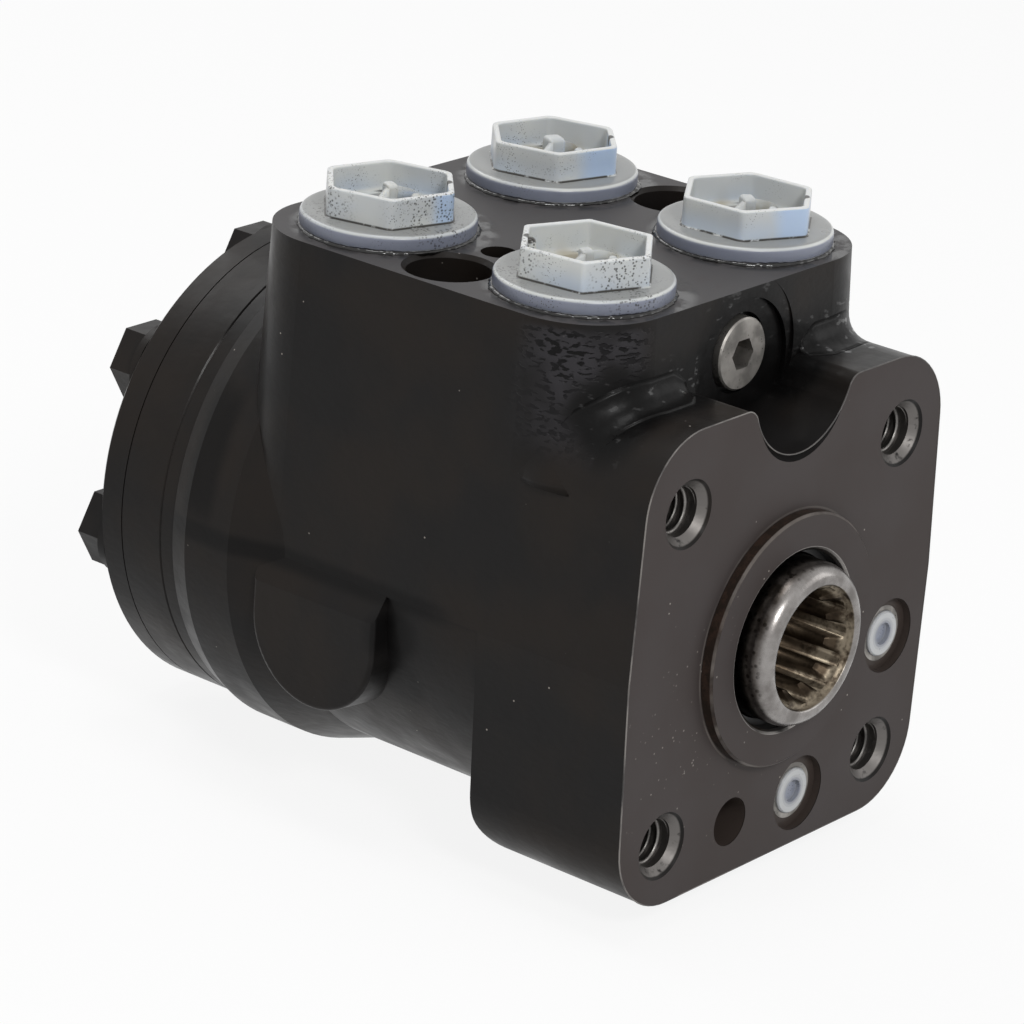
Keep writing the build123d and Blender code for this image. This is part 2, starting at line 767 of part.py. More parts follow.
socket_outline = spline_outline(
    spline_root_radius,
    spline_tip_radius,
    spline_root_share,
    spline_tip_share,
)
with BuildPart() as spool:
    turn(
        [
            (-spool_nose, 0),
            (-spool_nose, spool_radius),
            (spool_rear, spool_radius),
            (spool_rear, 0),
        ]
    )
    fillet(spool.edges().filter_by(GeomType.CIRCLE).sort_by(Axis.Y)[0], spool_nose_edge)
    rod(-spool_nose, spline_front, spool_mouth_radius, mode=Mode.SUBTRACT)
    # Broken edge of the mouth and the lead-in that guides the column's splines.
    turn(
        [
            (-spool_nose, 0),
            (-spool_nose, spool_mouth_radius + spool_mouth_edge),
            (-spool_nose + spool_mouth_edge, spool_mouth_radius),
            (-spool_nose + spool_mouth_edge, 0),
        ],
        mode=Mode.SUBTRACT,
    )
    turn(
        [
            (spline_front, 0),
            (spline_front, spline_root_radius),
            (spline_front + spline_lead, spline_tip_radius),
            (spline_front + spline_lead, 0),
        ],
        mode=Mode.SUBTRACT,
    )
    with BuildSketch(facing_front(spline_front)) as splines:
        Polygon(*socket_outline, align=None)
    extrude(splines.sketch, amount=-spool_spline_length, mode=Mode.SUBTRACT)
    rod(hollow_front, spool_rear, spool_hollow_radius, mode=Mode.SUBTRACT)
    # Metering grooves along the outside, over the sleeve's ports.
    groove_front = gallery_stations[1]
    with BuildSketch(facing_front(groove_front)) as grooves:
        with PolarLocations(spool_radius, spool_groove_count, start_angle=tooth_angle / 2):
            Rectangle(2 * spool_groove_depth, spool_groove_width)
    extrude(grooves.sketch, amount=-spool_groove_length, mode=Mode.SUBTRACT)
    with BuildSketch(Plane.YZ) as spool_slot:
        with Locations((leaf_station, 0)):
            Rectangle(leaf_width + 2 * leaf_slot_side_gap, 2 * leaf_slot_half)
    extrude(amount=sleeve_radius, both=True, mode=Mode.SUBTRACT)
    drill((-sleeve_radius, pin_station, 0), (sleeve_radius, pin_station, 0), spool_pin_hole)
write(spool.part, "control_spool")

# --- cardan shaft: slotted fork on the cross pin, crowned spline in the rotor ----------
head_run = hypot(eccentricity, head_station - pin_station)
with BuildPart() as cardan:
    rod(pin_station - fork_front, pin_station + fork_length, fork_radius)
    turn(
        [
            (pin_station + fork_length, 0),
            (pin_station + fork_length, fork_radius),
            (pin_station + fork_length + fork_radius - shaft_radius, shaft_radius),
            (pin_station + head_run, shaft_radius),
            (pin_station + head_run, 0),
        ]
    )
    with BuildSketch(facing_front(pin_station + head_run - head_length / 2)) as head_teeth:
        Polygon(
            *spline_outline(
                spline_root_radius - spline_lash,
                spline_tip_radius - spline_lash,
                spline_root_share - spline_share_cut,
                spline_tip_share + spline_share_cut,
            ),
            align=None,
        )
    extrude(head_teeth.sketch, amount=-head_length)
    # Crown of the spline head: its ends are turned down.
    head_end = pin_station + head_run + head_length / 2
    head_start = pin_station + head_run - head_length / 2
    for end, way in ((head_start, 1), (head_end, -1)):
        turn(
            [
                (end, spline_root_radius - spline_lash - head_crown),
                (end, spline_root_radius + cut_past),
                (end + way * head_length / 3, spline_root_radius + cut_past),
                (end + way * head_length / 3, spline_root_radius - spline_lash),
            ],
            mode=Mode.SUBTRACT,
        )
    # Open slot across the fork that slides onto the cross pin.
    with BuildSketch(Plane.YZ) as fork_slot:
        with Locations((pin_station - fork_front, 0)):
            Rectangle(
                fork_front + pin_radius + fork_slot_run,
                2 * pin_radius + 2 * sliding_fit,
                align=(Align.MIN, Align.CENTER),
            )
    extrude(amount=fork_radius, both=True, mode=Mode.SUBTRACT)
tilted = cardan.part.rotate(Axis((0, pin_station, 0), (1, 0, 0)), -cardan_tilt)
write(tilted, "cardan_shaft")

# --- gear set -------------------------------------------------------------------------
rotor_centre = (0, -eccentricity)
with BuildPart() as spacer:
    spacer_rear = cover_front - loose_fit
    rod(spacer_rear - spacer_thickness, spacer_rear, spacer_radius, [rotor_centre])
write(spacer.part, "cardan_spacer")

with BuildPart() as plate:
    rod(plate_front, gear_front, gear_set_radius)
    chamfer(plate.edges().filter_by(GeomType.CIRCLE), plate_edge)
    rod(plate_front, gear_front, plate_bore_radius, mode=Mode.SUBTRACT)
    rod(plate_front, gear_front, bolt_radius + bolt_hole_clearance, bolt_places, Mode.SUBTRACT)
    rod(plate_front, gear_front, feed_radius, feed_places, Mode.SUBTRACT)
write(plate.part, "distributor_plate")

with BuildPart() as gear_ring:
    rod(gear_front, cover_front, gear_set_radius)
    chamfer(gear_ring.edges().filter_by(GeomType.CIRCLE), plate_edge)
    # Pockets between seven round lobes.
    pocket_radius = lobe_pitch_radius + 2 * eccentricity - lobe_radius + pocket_clearance
    with BuildSketch(facing_front(gear_front)) as pockets:
        Circle(pocket_radius)
        with Locations(*[polar(lobe_pitch_radius, angle) for angle in bolt_angles]):
            Circle(lobe_radius, mode=Mode.SUBTRACT)
    extrude(pockets.sketch, amount=-gear_width, mode=Mode.SUBTRACT)
    rod(gear_front, cover_front, bolt_radius + bolt_hole_clearance, bolt_places, Mode.SUBTRACT)
    face_seal_groove(gear_front, face_seal_depth)
write(gear_ring.part, "gear_ring")


def rotor_point(step):
    """Point of the rotor's flank: the ring's lobe rolled about the rotor, less the lash."""
    t = 2 * pi * step / rotor_points
    teeth = lobe_count - 1
    centre_x = lobe_pitch_radius * cos(t) + eccentricity * cos(lobe_count * t)
    centre_z = lobe_pitch_radius * sin(t) + eccentricity * sin(lobe_count * t)
    normal_x = centre_x + teeth * eccentricity * cos(lobe_count * t)
    normal_z = centre_z + teeth * eccentricity * sin(lobe_count * t)
    reach = (lobe_radius + rotor_lash) / hypot(normal_x, normal_z)
    x = centre_x - reach * normal_x
    z = centre_z - reach * normal_z
    return (rotor_centre[0] - z, rotor_centre[1] + x)


with BuildPart() as rotor:
    with BuildSketch(facing_front(gear_front + face_gap)) as rotor_outline:
        with BuildLine():
            Spline(*[rotor_point(step) for step in range(rotor_points)], periodic=True)
        make_face()
        with Locations(rotor_centre):
            Polygon(*socket_outline, align=None, mode=Mode.SUBTRACT)
    extrude(amount=-(gear_width - 2 * face_gap))
write(rotor.part, "gear_rotor")

with BuildPart() as cover:
    rod(cover_front, cover_rear, gear_set_radius)
    chamfer(cover.edges().filter_by(GeomType.CIRCLE).sort_by(Axis.Y)[-1], cover_edge)
    rod(cover_front, cover_rear, bolt_radius + bolt_hole_clearance, bolt_places, Mode.SUBTRACT)
    face_seal_groove(cover_front, face_seal_depth)
write(cover.part, "end_cover")

for name, face, way in (
    ("plate_seal", housing_length, -1),
    ("gear_ring_seal", gear_front, 1),
    ("cover_seal", cover_front, 1),
):
    with BuildPart() as seal:
        with BuildSketch(Plane.YZ) as seal_section:
            with Locations((face + way * face_seal_wire, face_seal_radius)):
                Circle(face_seal_wire)
        revolve(axis=Axis.Y)
    write(seal.part, name)

with BuildPart() as washers:
    rod(cover_rear, head_seat, washer_radius, bolt_places)
    rod(cover_rear, head_seat, bolt_radius + bolt_hole_clearance / 2, bolt_places, Mode.SUBTRACT)
write(washers.part, "bolt_washers")


def cover_bolt(places, length_past_face):
    """Hexagon bolts whose heads bear on the washers at (x, z) places."""
    with BuildSketch(facing_front(head_seat)) as heads:
        with Locations(*places):
            RegularPolygon(bolt_head_width / 2, 6, major_radius=False)
    extrude(heads.sketch, amount=-bolt_head_height)
    rod(housing_length - length_past_face, head_seat, bolt_radius, places)


bolt_bite = bolt_thread_depth - loose_fit - locator_pin_length + locator_pin_bite
with BuildPart() as bolts:
    cover_bolt(bolt_places[1:], bolt_thread_depth - loose_fit)
write(bolts.part, "cover_bolts")

with BuildPart() as pin_bolt:
    cover_bolt(bolt_places[:1], bolt_bite)
    pin_hole_front = housing_length - bolt_bite
    pin_hole_rear = pin_hole_front + locator_pin_bite
    rod(pin_hole_front, pin_hole_rear, locator_pin_radius, bolt_places[:1], Mode.SUBTRACT)
write(pin_bolt.part, "pin_bolt")

with BuildPart() as locator_pin:
    rod(pin_hole_rear - locator_pin_length, pin_hole_rear, locator_pin_radius, bolt_places[:1])
write(locator_pin.part, "roll_pin")

# --- relief valve ---------------------------------------------------------------------
with BuildPart() as relief_plug:
    rod(relief_head_front, relief_plug_rear, relief_head_radius, relief_place)
    chamfer(relief_plug.edges().filter_by(GeomType.CIRCLE), face_seal_side_gap)
    with BuildSketch(facing_front(relief_head_front)) as socket:
        with Locations(relief_place[0]):
            RegularPolygon(relief_socket / 2, 6, major_radius=False)
    extrude(socket.sketch, amount=-relief_socket_depth, mode=Mode.SUBTRACT)
write(relief_plug.part, "relief_plug")

relief_spring_rear = relief_plug_rear + relief_spring_length
with BuildPart() as relief_spring:
    coil(
        relief_plug_rear,
        relief_spring_rear,
        relief_spring_radius,
        relief_wire,
        relief_turns,
        relief_place[0],
    )
write(relief_spring.part, "relief_spring")

with BuildPart() as relief_poppet:
    cone_length = relief_poppet_length / 2
    poppet_radius = relief_bore_radius - sliding_fit
    with BuildSketch(Plane.YZ) as poppet_section:
        with BuildLine():
            Polyline(
                (relief_spring_rear, relief_height),
                (relief_spring_rear, relief_height + poppet_radius),
                (relief_seat - cone_length, relief_height + poppet_radius),
                (relief_seat, relief_height + relief_seat_radius - sliding_fit),
                (relief_seat + loose_fit, relief_height),
                close=True,
            )
        make_face()
    revolve(axis=Axis((0, 0, relief_height), (0, 1, 0)))
write(relief_poppet.part, "relief_poppet")

# --- shock valves ---------------------------------------------------------------------
for name, place in zip(("right", "lower"), shock_places):
    with BuildPart() as screw:
        rod(shock_screw_front, shock_spring_front, shock_thread_radius, [place])
        cup_floor = shock_screw_front + shock_cup_depth
        rod(shock_screw_front, cup_floor, shock_cup_radius, [place], Mode.SUBTRACT)
        with BuildSketch(facing_front(cup_floor)) as key:
            with Locations(place):
                RegularPolygon(shock_key_width / 2, 6, major_radius=False)
        extrude(key.sketch, amount=-shock_key_depth, mode=Mode.SUBTRACT)
    write(screw.part, f"shock_screw_{name}")
    with BuildPart() as cap:
        cap_front = shock_screw_front - shock_cap_proud
        rod(cap_front, cup_floor, shock_cup_radius - sliding_fit, [place])
        chamfer(cap.edges().filter_by(GeomType.CIRCLE).sort_by(Axis.Y)[0], shock_cap_proud / 2)
        rod(cap_front, cap_front + shock_cap_dimple, shock_key_width / 2, [place], Mode.SUBTRACT)
    write(cap.part, f"shock_cap_{name}")
    with BuildPart() as spring:
        spring_rear = shock_spring_front + shock_spring_length
        coil(shock_spring_front, spring_rear, shock_spring_radius, shock_wire, shock_turns, place)
    write(spring.part, f"shock_spring_{name}")
    with BuildPart() as ball:
        with Locations((place[0], shock_ball_station, place[1])):
            Sphere(shock_ball_radius)
    write(ball.part, f"shock_ball_{name}")

# --- suction valves and supply check valve ---------------------------------------------
for name, place in zip(("left", "right"), suction_places):
    ball_station = suction_floor + sqrt(suction_ball_radius**2 - suction_seat_radius**2)
    with BuildPart() as ball:
        with Locations((place[0], ball_station, place[1])):
            Sphere(suction_ball_radius)
    write(ball.part, f"suction_ball_{name}")
    with BuildPart() as pin:
        pin_front = ball_station + suction_ball_radius + suction_lift
        rod(pin_front, plate_front - face_gap, suction_pin_radius, [place])
    write(pin.part, f"suction_pin_{name}")

ball_x, ball_y = port_places[0]
with BuildPart() as check_bush:
    with BuildSketch(Plane(origin=(ball_x, ball_y, check_bush_top - check_bush_length))) as bush:
        Circle(port_passage_radius - thread_fit)
        Circle(check_bush_bore, mode=Mode.SUBTRACT)
    extrude(amount=check_bush_length)
write(check_bush.part, "check_bushing")

with BuildPart() as check_ball:
    check_drop = sqrt(check_ball_radius**2 - port_feed_radius**2)
    with Locations((ball_x, ball_y, port_passage_floor + check_drop + face_gap)):
        Sphere(check_ball_radius)
write(check_ball.part, "check_ball")

# --- transport plugs in the four ports -------------------------------------------------
plug_names = ("supply", "tank", "left", "right")
for name, (x, y), turned in zip(plug_names, port_places, plug_turns):
    with BuildPart() as plug:
        seat = port_face_height
        with BuildSketch(Plane(origin=(x, y, seat - plug_shank_length))) as shank:
            Circle(port_thread_radius - loose_fit)
            Circle(port_thread_radius - loose_fit - plug_wall, mode=Mode.SUBTRACT)
        extrude(amount=plug_shank_length)
        with BuildSketch(Plane(origin=(x, y, seat))) as flange:
            Circle(plug_flange_radius)
        extrude(amount=plug_flange_thickness)
        rim = plug.edges().filter_by(GeomType.CIRCLE).filter_by(
            lambda e: abs(e.radius - plug_flange_radius) < running_fit
        )
        fillet(rim, plug_flange_edge)
        with BuildSketch(Plane(origin=(x, y, seat + plug_flange_thickness))) as hexagon:
            RegularPolygon(plug_hex_width / 2, 6, major_radius=False, rotation=turned)
            RegularPolygon(
                plug_hex_width / 2 - plug_wall,
                6,
                major_radius=False,
                rotation=turned,
                mode=Mode.SUBTRACT,
            )
            fillet(hexagon.vertices(), plug_hex_corner)
        extrude(amount=plug_hex_height)
        with BuildSketch(Plane(origin=(x, y, seat + plug_flange_thickness))) as web:
            Rectangle(plug_hex_width - plug_wall, plug_web_thickness, rotation=turned)
            Circle(plug_post_radius)
        extrude(amount=plug_hex_height - plug_web_drop)
    write(plug.part, f"plug_{name}_port")
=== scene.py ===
# %% [markdown]
# # An orbital steering unit and its finishes
#
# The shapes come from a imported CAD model. This notebook gives every piece the finish that
# the real one has: sprayed black paint over rough iron, bare turned steel, milky plastic.
# It also adds what is too fine for the CAD model, such as screw threads, a rolled edge and
# the thin walls of the plugs.
#
# The steering shaft lies along Y, the mounting face is at Y = 0 and looks towards -Y, and
# the ports are on top. Lengths are in millimetres in all formulas, and turn into Blender's
# metres where a shape or a bump is made.

# %% Load the frame
from functools import reduce

import bmesh
import bpy
import numpy as np
from mathutils import Matrix, Vector


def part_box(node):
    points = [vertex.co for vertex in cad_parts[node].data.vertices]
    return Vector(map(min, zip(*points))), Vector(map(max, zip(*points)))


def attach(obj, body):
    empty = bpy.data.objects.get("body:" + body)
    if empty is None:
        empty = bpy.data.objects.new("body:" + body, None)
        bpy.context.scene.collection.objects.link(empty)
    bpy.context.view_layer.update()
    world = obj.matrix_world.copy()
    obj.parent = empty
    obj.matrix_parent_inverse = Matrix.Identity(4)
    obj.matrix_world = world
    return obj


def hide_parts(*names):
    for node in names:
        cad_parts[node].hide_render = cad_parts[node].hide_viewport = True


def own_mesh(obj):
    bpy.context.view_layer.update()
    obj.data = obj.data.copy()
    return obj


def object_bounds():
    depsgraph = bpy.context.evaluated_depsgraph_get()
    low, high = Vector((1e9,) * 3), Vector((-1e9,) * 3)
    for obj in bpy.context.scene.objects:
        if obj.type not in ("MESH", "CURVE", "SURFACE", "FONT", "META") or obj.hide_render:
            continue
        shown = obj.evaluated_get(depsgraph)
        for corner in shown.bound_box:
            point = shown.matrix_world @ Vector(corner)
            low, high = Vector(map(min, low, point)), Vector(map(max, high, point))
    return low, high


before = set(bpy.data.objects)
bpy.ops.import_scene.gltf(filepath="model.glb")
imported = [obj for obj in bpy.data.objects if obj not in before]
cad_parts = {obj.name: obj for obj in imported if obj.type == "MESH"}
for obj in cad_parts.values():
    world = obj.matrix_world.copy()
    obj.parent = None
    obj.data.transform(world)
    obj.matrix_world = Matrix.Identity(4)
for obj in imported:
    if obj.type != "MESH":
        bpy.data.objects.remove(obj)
scene = bpy.context.scene
cad_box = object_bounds()
MM = 0.001
print("box in mm:", [round(v / MM, 1) for corner in cad_box for v in corner])

# %% [markdown]
# ## Writing shader maths as Python
#
# A material is a graph of nodes, and a long formula takes dozens of them. A small class
# that wraps one socket and overloads the operators lets the formula be written as maths,
# and each operator adds the node that does it.


# %% A socket that does arithmetic
class Value:
    """One output socket of a material, with operators that add Math nodes."""

    def __init__(self, tree, socket):
        self.tree = tree
        self.socket = socket

    def node(self, kind, settings=None, output=0, **inputs):
        """Add a node: its type, its settings, then values or links for its sockets.
        A socket is named with _ for each space, or numbered, as in _0 for the first."""
        made = self.tree.nodes.new(kind)
        for name, value in (settings or {}).items():
            setattr(made, name, value)
        for name, value in inputs.items():
            key = int(name[1:]) if name[0] == "_" else name.replace("_", " ")
            socket = made.inputs[key]
            if isinstance(value, Value):
                self.tree.links.new(value.socket, socket)
            else:
                socket.default_value = value
        return Value(self.tree, made.outputs[output])

    def math(self, operation, *others):
        """A Math node on this value and the others."""
        inputs = {f"_{n}": value for n, value in enumerate((self, *others))}
        return self.node("ShaderNodeMath", {"operation": operation}, **inputs)

    def __add__(self, other):
        return self.math("ADD", other)

    def __sub__(self, other):
        return self.math("SUBTRACT", other)

    def __rsub__(self, other):
        return (self * -1) + other

    def __mul__(self, other):
        return self.math("MULTIPLY", other)

    __radd__, __rmul__ = __add__, __mul__

    def step(self, low, high):
        """0 below low, 1 above high and smooth between; low may be above high."""
        settings = {"interpolation_type": "SMOOTHSTEP"}
        inputs = {"Value": self, "From_Min": low, "From_Max": high}
        return self.node("ShaderNodeMapRange", settings, **inputs)

    def either(self, other):
        """The larger of two masks."""
        return self.math("MAXIMUM", other)

    def band(self, middle, outer, inner):
        """1 closer than inner to a middle value and 0 further off than outer."""
        return (self - middle).math("ABSOLUTE").step(outer, inner)

    def capped(self):
        """A sum of masks, held at 1."""
        return self.math("MINIMUM", 1.0)

    def mix(self, low, high):
        """Colour or number: low where this mask is 0, high where it is 1."""
        if isinstance(low, (int, float)) or isinstance(high, (int, float)):
            return self * (high - low) + low
        low, high = (tone if isinstance(tone, Value) else (*tone, 1.0) for tone in (low, high))
        return self.node("ShaderNodeMix", {"data_type": "RGBA"}, 2, _0=self, _6=low, _7=high)


def any_of(masks):
    """The largest of several masks."""
    return reduce(Value.either, masks)


print("operators ready")

# %% [markdown]
# ## One base for every finish
#
# Each material starts from a Principled shader. The places in a pattern come from Object
# coordinates, which are alike for every piece, because every object sits at the origin.
# Noise takes them in metres, so scale 1000 has grains about a millimetre wide; masks take
# them in millimetres.


# %% Start a finish
class Finish:
    """A material with one Principled shader, and the coordinates its patterns use."""

    def __init__(self, name):
        self.material = bpy.data.materials.new(name)
        self.material.use_nodes = True
        tree = self.material.node_tree
        self.tree = tree
        self.shader = tree.nodes["Principled BSDF"]
        coordinates = tree.nodes.new("ShaderNodeTexCoord")
        self.place = Value(tree, coordinates.outputs["Object"])
        self.x, self.y, self.z = self.split(self.stretched(1 / MM, 1 / MM, 1 / MM))
        normal = tree.nodes.new("ShaderNodeNewGeometry").outputs["Normal"]
        _, self.facing_y, self.facing_z = self.split(Value(tree, normal))

    def split(self, vector):
        """The three parts of a vector."""
        made = self.tree.nodes.new("ShaderNodeSeparateXYZ")
        self.tree.links.new(vector.socket, made.inputs[0])
        return [Value(self.tree, output) for output in made.outputs]

    def stretched(self, x=1.0, y=1.0, z=1.0):
        """The place, stretched along the axes, for streaky patterns."""
        settings = {"operation": "MULTIPLY"}
        inputs = {"_0": self.place, "_1": (x, y, z)}
        return self.place.node("ShaderNodeVectorMath", settings, **inputs)

    def noise(self, scale, detail=2.0, rough=0.5, place=None):
        """Cloudy noise from 0 to 1; scale is grains per metre."""
        inputs = {"Scale": scale, "Detail": detail, "Roughness": rough}
        return self.place.node("ShaderNodeTexNoise", Vector=place or self.place, **inputs)

    def cells(self, scale):
        """Distance to the nearest of scattered points, in cell widths."""
        return self.place.node("ShaderNodeTexVoronoi", Vector=self.place, Scale=scale)

    def distance(self, **point):
        """Distance from a point, or from a line where one coordinate is left out."""
        offsets = [getattr(self, axis) - middle for axis, middle in point.items()]
        return sum(offset * offset for offset in offsets).math("SQRT")

    def set(self, **values):
        """Fix sockets of the shader that are the same all over the surface."""
        for name, value in values.items():
            self.shader.inputs[name.replace("_", " ")].default_value = value
        return self

    def link(self, **values):
        """Feed sockets of the shader with patterns."""
        for name, value in values.items():
            self.tree.links.new(value.socket, self.shader.inputs[name.replace("_", " ")])
        return self

    def bump(self, height, depth):
        """Raise the surface by a height from 0 to 1 times a depth in millimetres."""
        raised = self.place.node("ShaderNodeBump", Height=height, Distance=depth * MM)
        return self.link(Normal=raised)


def wear(material, *names):
    """Put one material on CAD nodes."""
    for name in names:
        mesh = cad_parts[name].data
        mesh.materials.clear()
        mesh.materials.append(material)


def box_of(node):
    """A CAD node's box: its low and its high corner."""
    return [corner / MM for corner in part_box(node)]


def middle_of(node):
    """The middle of a CAD node's box."""
    low, high = box_of(node)
    return (low + high) / 2


print("finishes can be written")

# %% [markdown]
# ## Black paint over cast and machined iron
#
# The whole casting is sprayed after machining. Over the rough cast faces the paint lies in
# an orange peel with a few specks of dust. It could be one plain black, but real paint
# drifts between a cold and a warm black, so a slow noise mixes the two. The wet look comes
# from a clear coat whose weight is a mask, so one material covers dry and wet places alike.

# %% Colours of the paint
CAST_BLACK = (0.0100, 0.0093, 0.0092)
CAST_WARM = (0.0150, 0.0118, 0.0098)
# painted shade: deep black laid in hollows, beside the pads, under the block and in dents
PAINTED_SHADE_BLACK = (0.0022, 0.0020, 0.0020)
OIL_BLACK = (0.0100, 0.0095, 0.0095)
# painted sheen between the dents of the front left corner
PAINTED_SHEEN = (0.0230, 0.0212, 0.0245)
DUST = (0.34, 0.31, 0.28)


# %% Plain paint
class Paint(Finish):
    """Sprayed black paint. Its colour, roughness, clear coat and height are laid on in
    turn, and each later layer mixes over what is there."""

    def __init__(self, name):
        super().__init__(name)
        self.clouds = self.noise(45, 3)
        self.grain = self.noise(1500, 2, 0.6)
        patches = self.noise(150, 2)
        peel = self.noise(520, 1.5, 0.45, self.stretched(z=1.7))
        self.specks = self.cells(330).step(0.070, 0.030) * self.noise(170, 0).step(0.60, 0.66)
        self.base = self.clouds.step(0.35, 0.65).mix(CAST_BLACK, CAST_WARM)
        self.cover(self.specks, DUST)
        self.rough = patches.step(0.3, 0.7).mix(0.30, 0.42)
        self.coat = patches * 0.06
        self.height = peel * 0.55 + self.grain * 0.12

    def cover(self, mask, tone):
        """Lay a tone over the colour where the mask is 1."""
        self.base = mask.mix(self.base, tone)

    def sprayed(self):
        """Link the layers to the shader and return the material."""
        self.link(Base_Color=self.base, Roughness=self.rough, Coat_Weight=self.coat)
        self.bump(self.height, 0.075)
        self.set(Specular_IOR_Level=0.11, Coat_Roughness=0.06, Coat_IOR=1.36)
        return self.material


wear(Paint("black paint on the gear set").sprayed(), "distributor_plate", "gear_ring", "end_cover")
wear(Paint("black paint on the bolts").sprayed(), "bolt_washers", "cover_bolts", "pin_bolt")
print("gear set and bolts painted")

# %% [markdown]
# ### Painted shade in the hollows, and dents in the casting's paint
#
# In the hollows at the block's foot and in the scallop the paint is coloured deep black as
# painted shade, with islands of wet gloss on it. Beside the side pads, behind the block and
# under it a blacker painted shade is laid on. On the front left corner the orange peel has
# sagged into flat dents, with a paler painted sheen between them and painted shade in them.

# %% Places on the casting
port_face = box_of("housing")[1].z
MOUNT_HALF = 58.34 / 2
MOUNT_CORE = 4.25
PILOT_FRONT = -2.2
PILOT_RADIUS = 22.2
SEAL_MOUTH = 16.15
CORE_HOLE = {"x": -10.7, "z": -30.5}
BLOCK_FRONT = 13.3
CAPS = ("shock_cap_right", "shock_cap_lower")
PLUGS = ("supply", "tank", "left", "right")
plug_centres = [middle_of(f"plug_{port}_port")[:2] for port in PLUGS]
print("plugs at", [[round(v, 1) for v in place] for place in plug_centres])


# %% Painted shade in the hollows, painted sheen and dents
def near(finish, reach, **point):
    """1 at a point or line and 0 beyond its reach."""
    return finish.distance(**point).step(reach, reach * 0.45)


def pools_and_painted_shade(paint, flat):
    """Deep black painted shade at the block's foot and in the scallop, with islands of wet gloss.
    """
    foot = near(paint, 9, y=13, z=43)
    scallop = near(paint, 17, x=0, z=47) * paint.y.step(20, 13)
    wet = (foot + scallop).capped() * (1 - flat)
    islands = paint.noise(420, 2, 0.5, paint.stretched(z=2.2)).step(0.62, 0.70)
    # painted shade: the hollows are coloured deep black
    paint.cover(wet, PAINTED_SHADE_BLACK)
    paint.coat = (wet * islands).mix(paint.coat, 1.0)
    paint.height = paint.height + wet * paint.noise(330, 2, 0.5) * 1.8
    return wet


def painted_hollow_shade(paint):
    """Painted shade: blacker colour beside the side pads, behind the block and under it."""
    pad_front = near(paint, 6, y=49.5, z=-4)
    pad_front = pad_front + near(paint, 6, y=49, z=-13)
    rear = paint.distance(y=93).step(5, 2)
    rear = rear * paint.z.step(2, 8) * paint.z.step(34, 26)
    under = paint.distance(z=2.5).step(2.6, 0.8) * paint.y.step(36, 44)
    sides = (pad_front + rear + under).capped()
    # painted shade laid beside the pads, behind the block and under it
    paint.cover(sides * paint.x.math("ABSOLUTE").step(33, 38) * 0.8, PAINTED_SHADE_BLACK)


def dented_corner_with_painted_sheen(paint, wet):
    """Dents in the block's front left corner above the hollows; painted sheen and painted shade.
    """
    corner = paint.distance(x=-26, y=28).step(9, 14)
    corner = corner * paint.x.step(-23, -31) * paint.y.step(31, 23)
    corner = corner * paint.y.step(BLOCK_FRONT - 1.1, BLOCK_FRONT + 0.3)
    corner = corner * paint.z.step(33, 44) * paint.z.step(57.2, 55.5)
    corner = corner * paint.noise(90, 2).step(0.25, 0.50) * (1 - wet)
    dents = paint.noise(620, 1.5, 0.5, paint.stretched(z=2.1)).step(0.50, 0.41)
    # painted sheen over the corner, and painted shade in the dents
    paint.cover(corner, PAINTED_SHEEN)
    paint.cover(corner * dents, PAINTED_SHADE_BLACK)
    paint.coat = paint.coat.either(corner * (1 - dents) * 0.4)
    paint.height = paint.height - corner * dents * 3.0


print("hollows and dents ready")

# %% [markdown]
# ### Machined faces under the paint
#
# Over the machined mounting face and port face the paint is thin, flat and a little paler
# and warmer. Oil creeps from under the plug discs over the port face, crumbs of swarf
# stick to the mounting face, and its recesses are stained brown.

# %% Machined faces
MACHINED_GREY = (0.0560, 0.0478, 0.0465)
MACHINED_WARM = (0.0490, 0.0400, 0.0375)
TOP_GREY = (0.0620, 0.0590, 0.0600)
RECESS_PALE = (0.060, 0.047, 0.041)
RECESS_DARK = (0.038, 0.029, 0.025)


def oil_creep(paint, top):
    """Patchy rings round the plug discs."""
    rings = [paint.distance(x=x + 0.6, y=y - 0.8).step(18.4, 16.2) for x, y in plug_centres]
    return any_of(rings) * top * paint.noise(210, 4, 0.6).step(0.40, 0.54)


def recesses(paint):
    """The walls and floors of the core hole and of the two recesses round the caps."""
    holes = [paint.distance(**CORE_HOLE).step(4.7, 4.5)]
    for cap in map(middle_of, CAPS):
        holes.append(paint.distance(x=cap.x, z=cap.z).step(9.5, 9.0))
    return any_of(holes) * paint.y.step(0.05, 0.25) * paint.y.step(19, 15)


def machined_faces(paint, front, top, flat):
    """Thin even paint: warm clouds on the front, rubbed streaks on the top."""
    streaks = paint.noise(260, 4, 0.7, paint.stretched(x=0.35)).step(0.50, 0.72) * 0.45
    creep = oil_creep(paint, top)
    crumbs = paint.cells(760).step(0.17, 0.09) * paint.noise(330, 2).step(0.50, 0.58)
    crumbs = crumbs * near(paint, 26, x=-21, z=-12) * 0.6
    paint.cover(front, paint.clouds.step(0.3, 0.7).mix(MACHINED_GREY, MACHINED_WARM))
    paint.cover(top, streaks.mix(TOP_GREY, MACHINED_GREY))
    paint.cover(creep * 0.85, OIL_BLACK)
    paint.cover(recesses(paint), paint.clouds.mix(RECESS_PALE, RECESS_DARK))
    paint.cover(((paint.specks + crumbs) * front).capped(), DUST)
    paint.rough = flat.mix(paint.rough, 0.47)
    paint.coat = (paint.coat * (1 - flat)).either(creep * 0.8)
    paint.height = (1 - flat) * paint.height + flat * paint.grain * 0.1


print("machined faces ready")

# %% [markdown]
# ### Bare edges, and a painted highlight on the pilot's edge
#
# The chamfers of the mounting holes are cut after painting and stay bare. The low pilot
# ring that centres the unit in its bracket has a brown wall, a rubbed front edge with a
# painted highlight and a paler line at its foot, and the seal's mouth inside it shines as
# a thin ring.

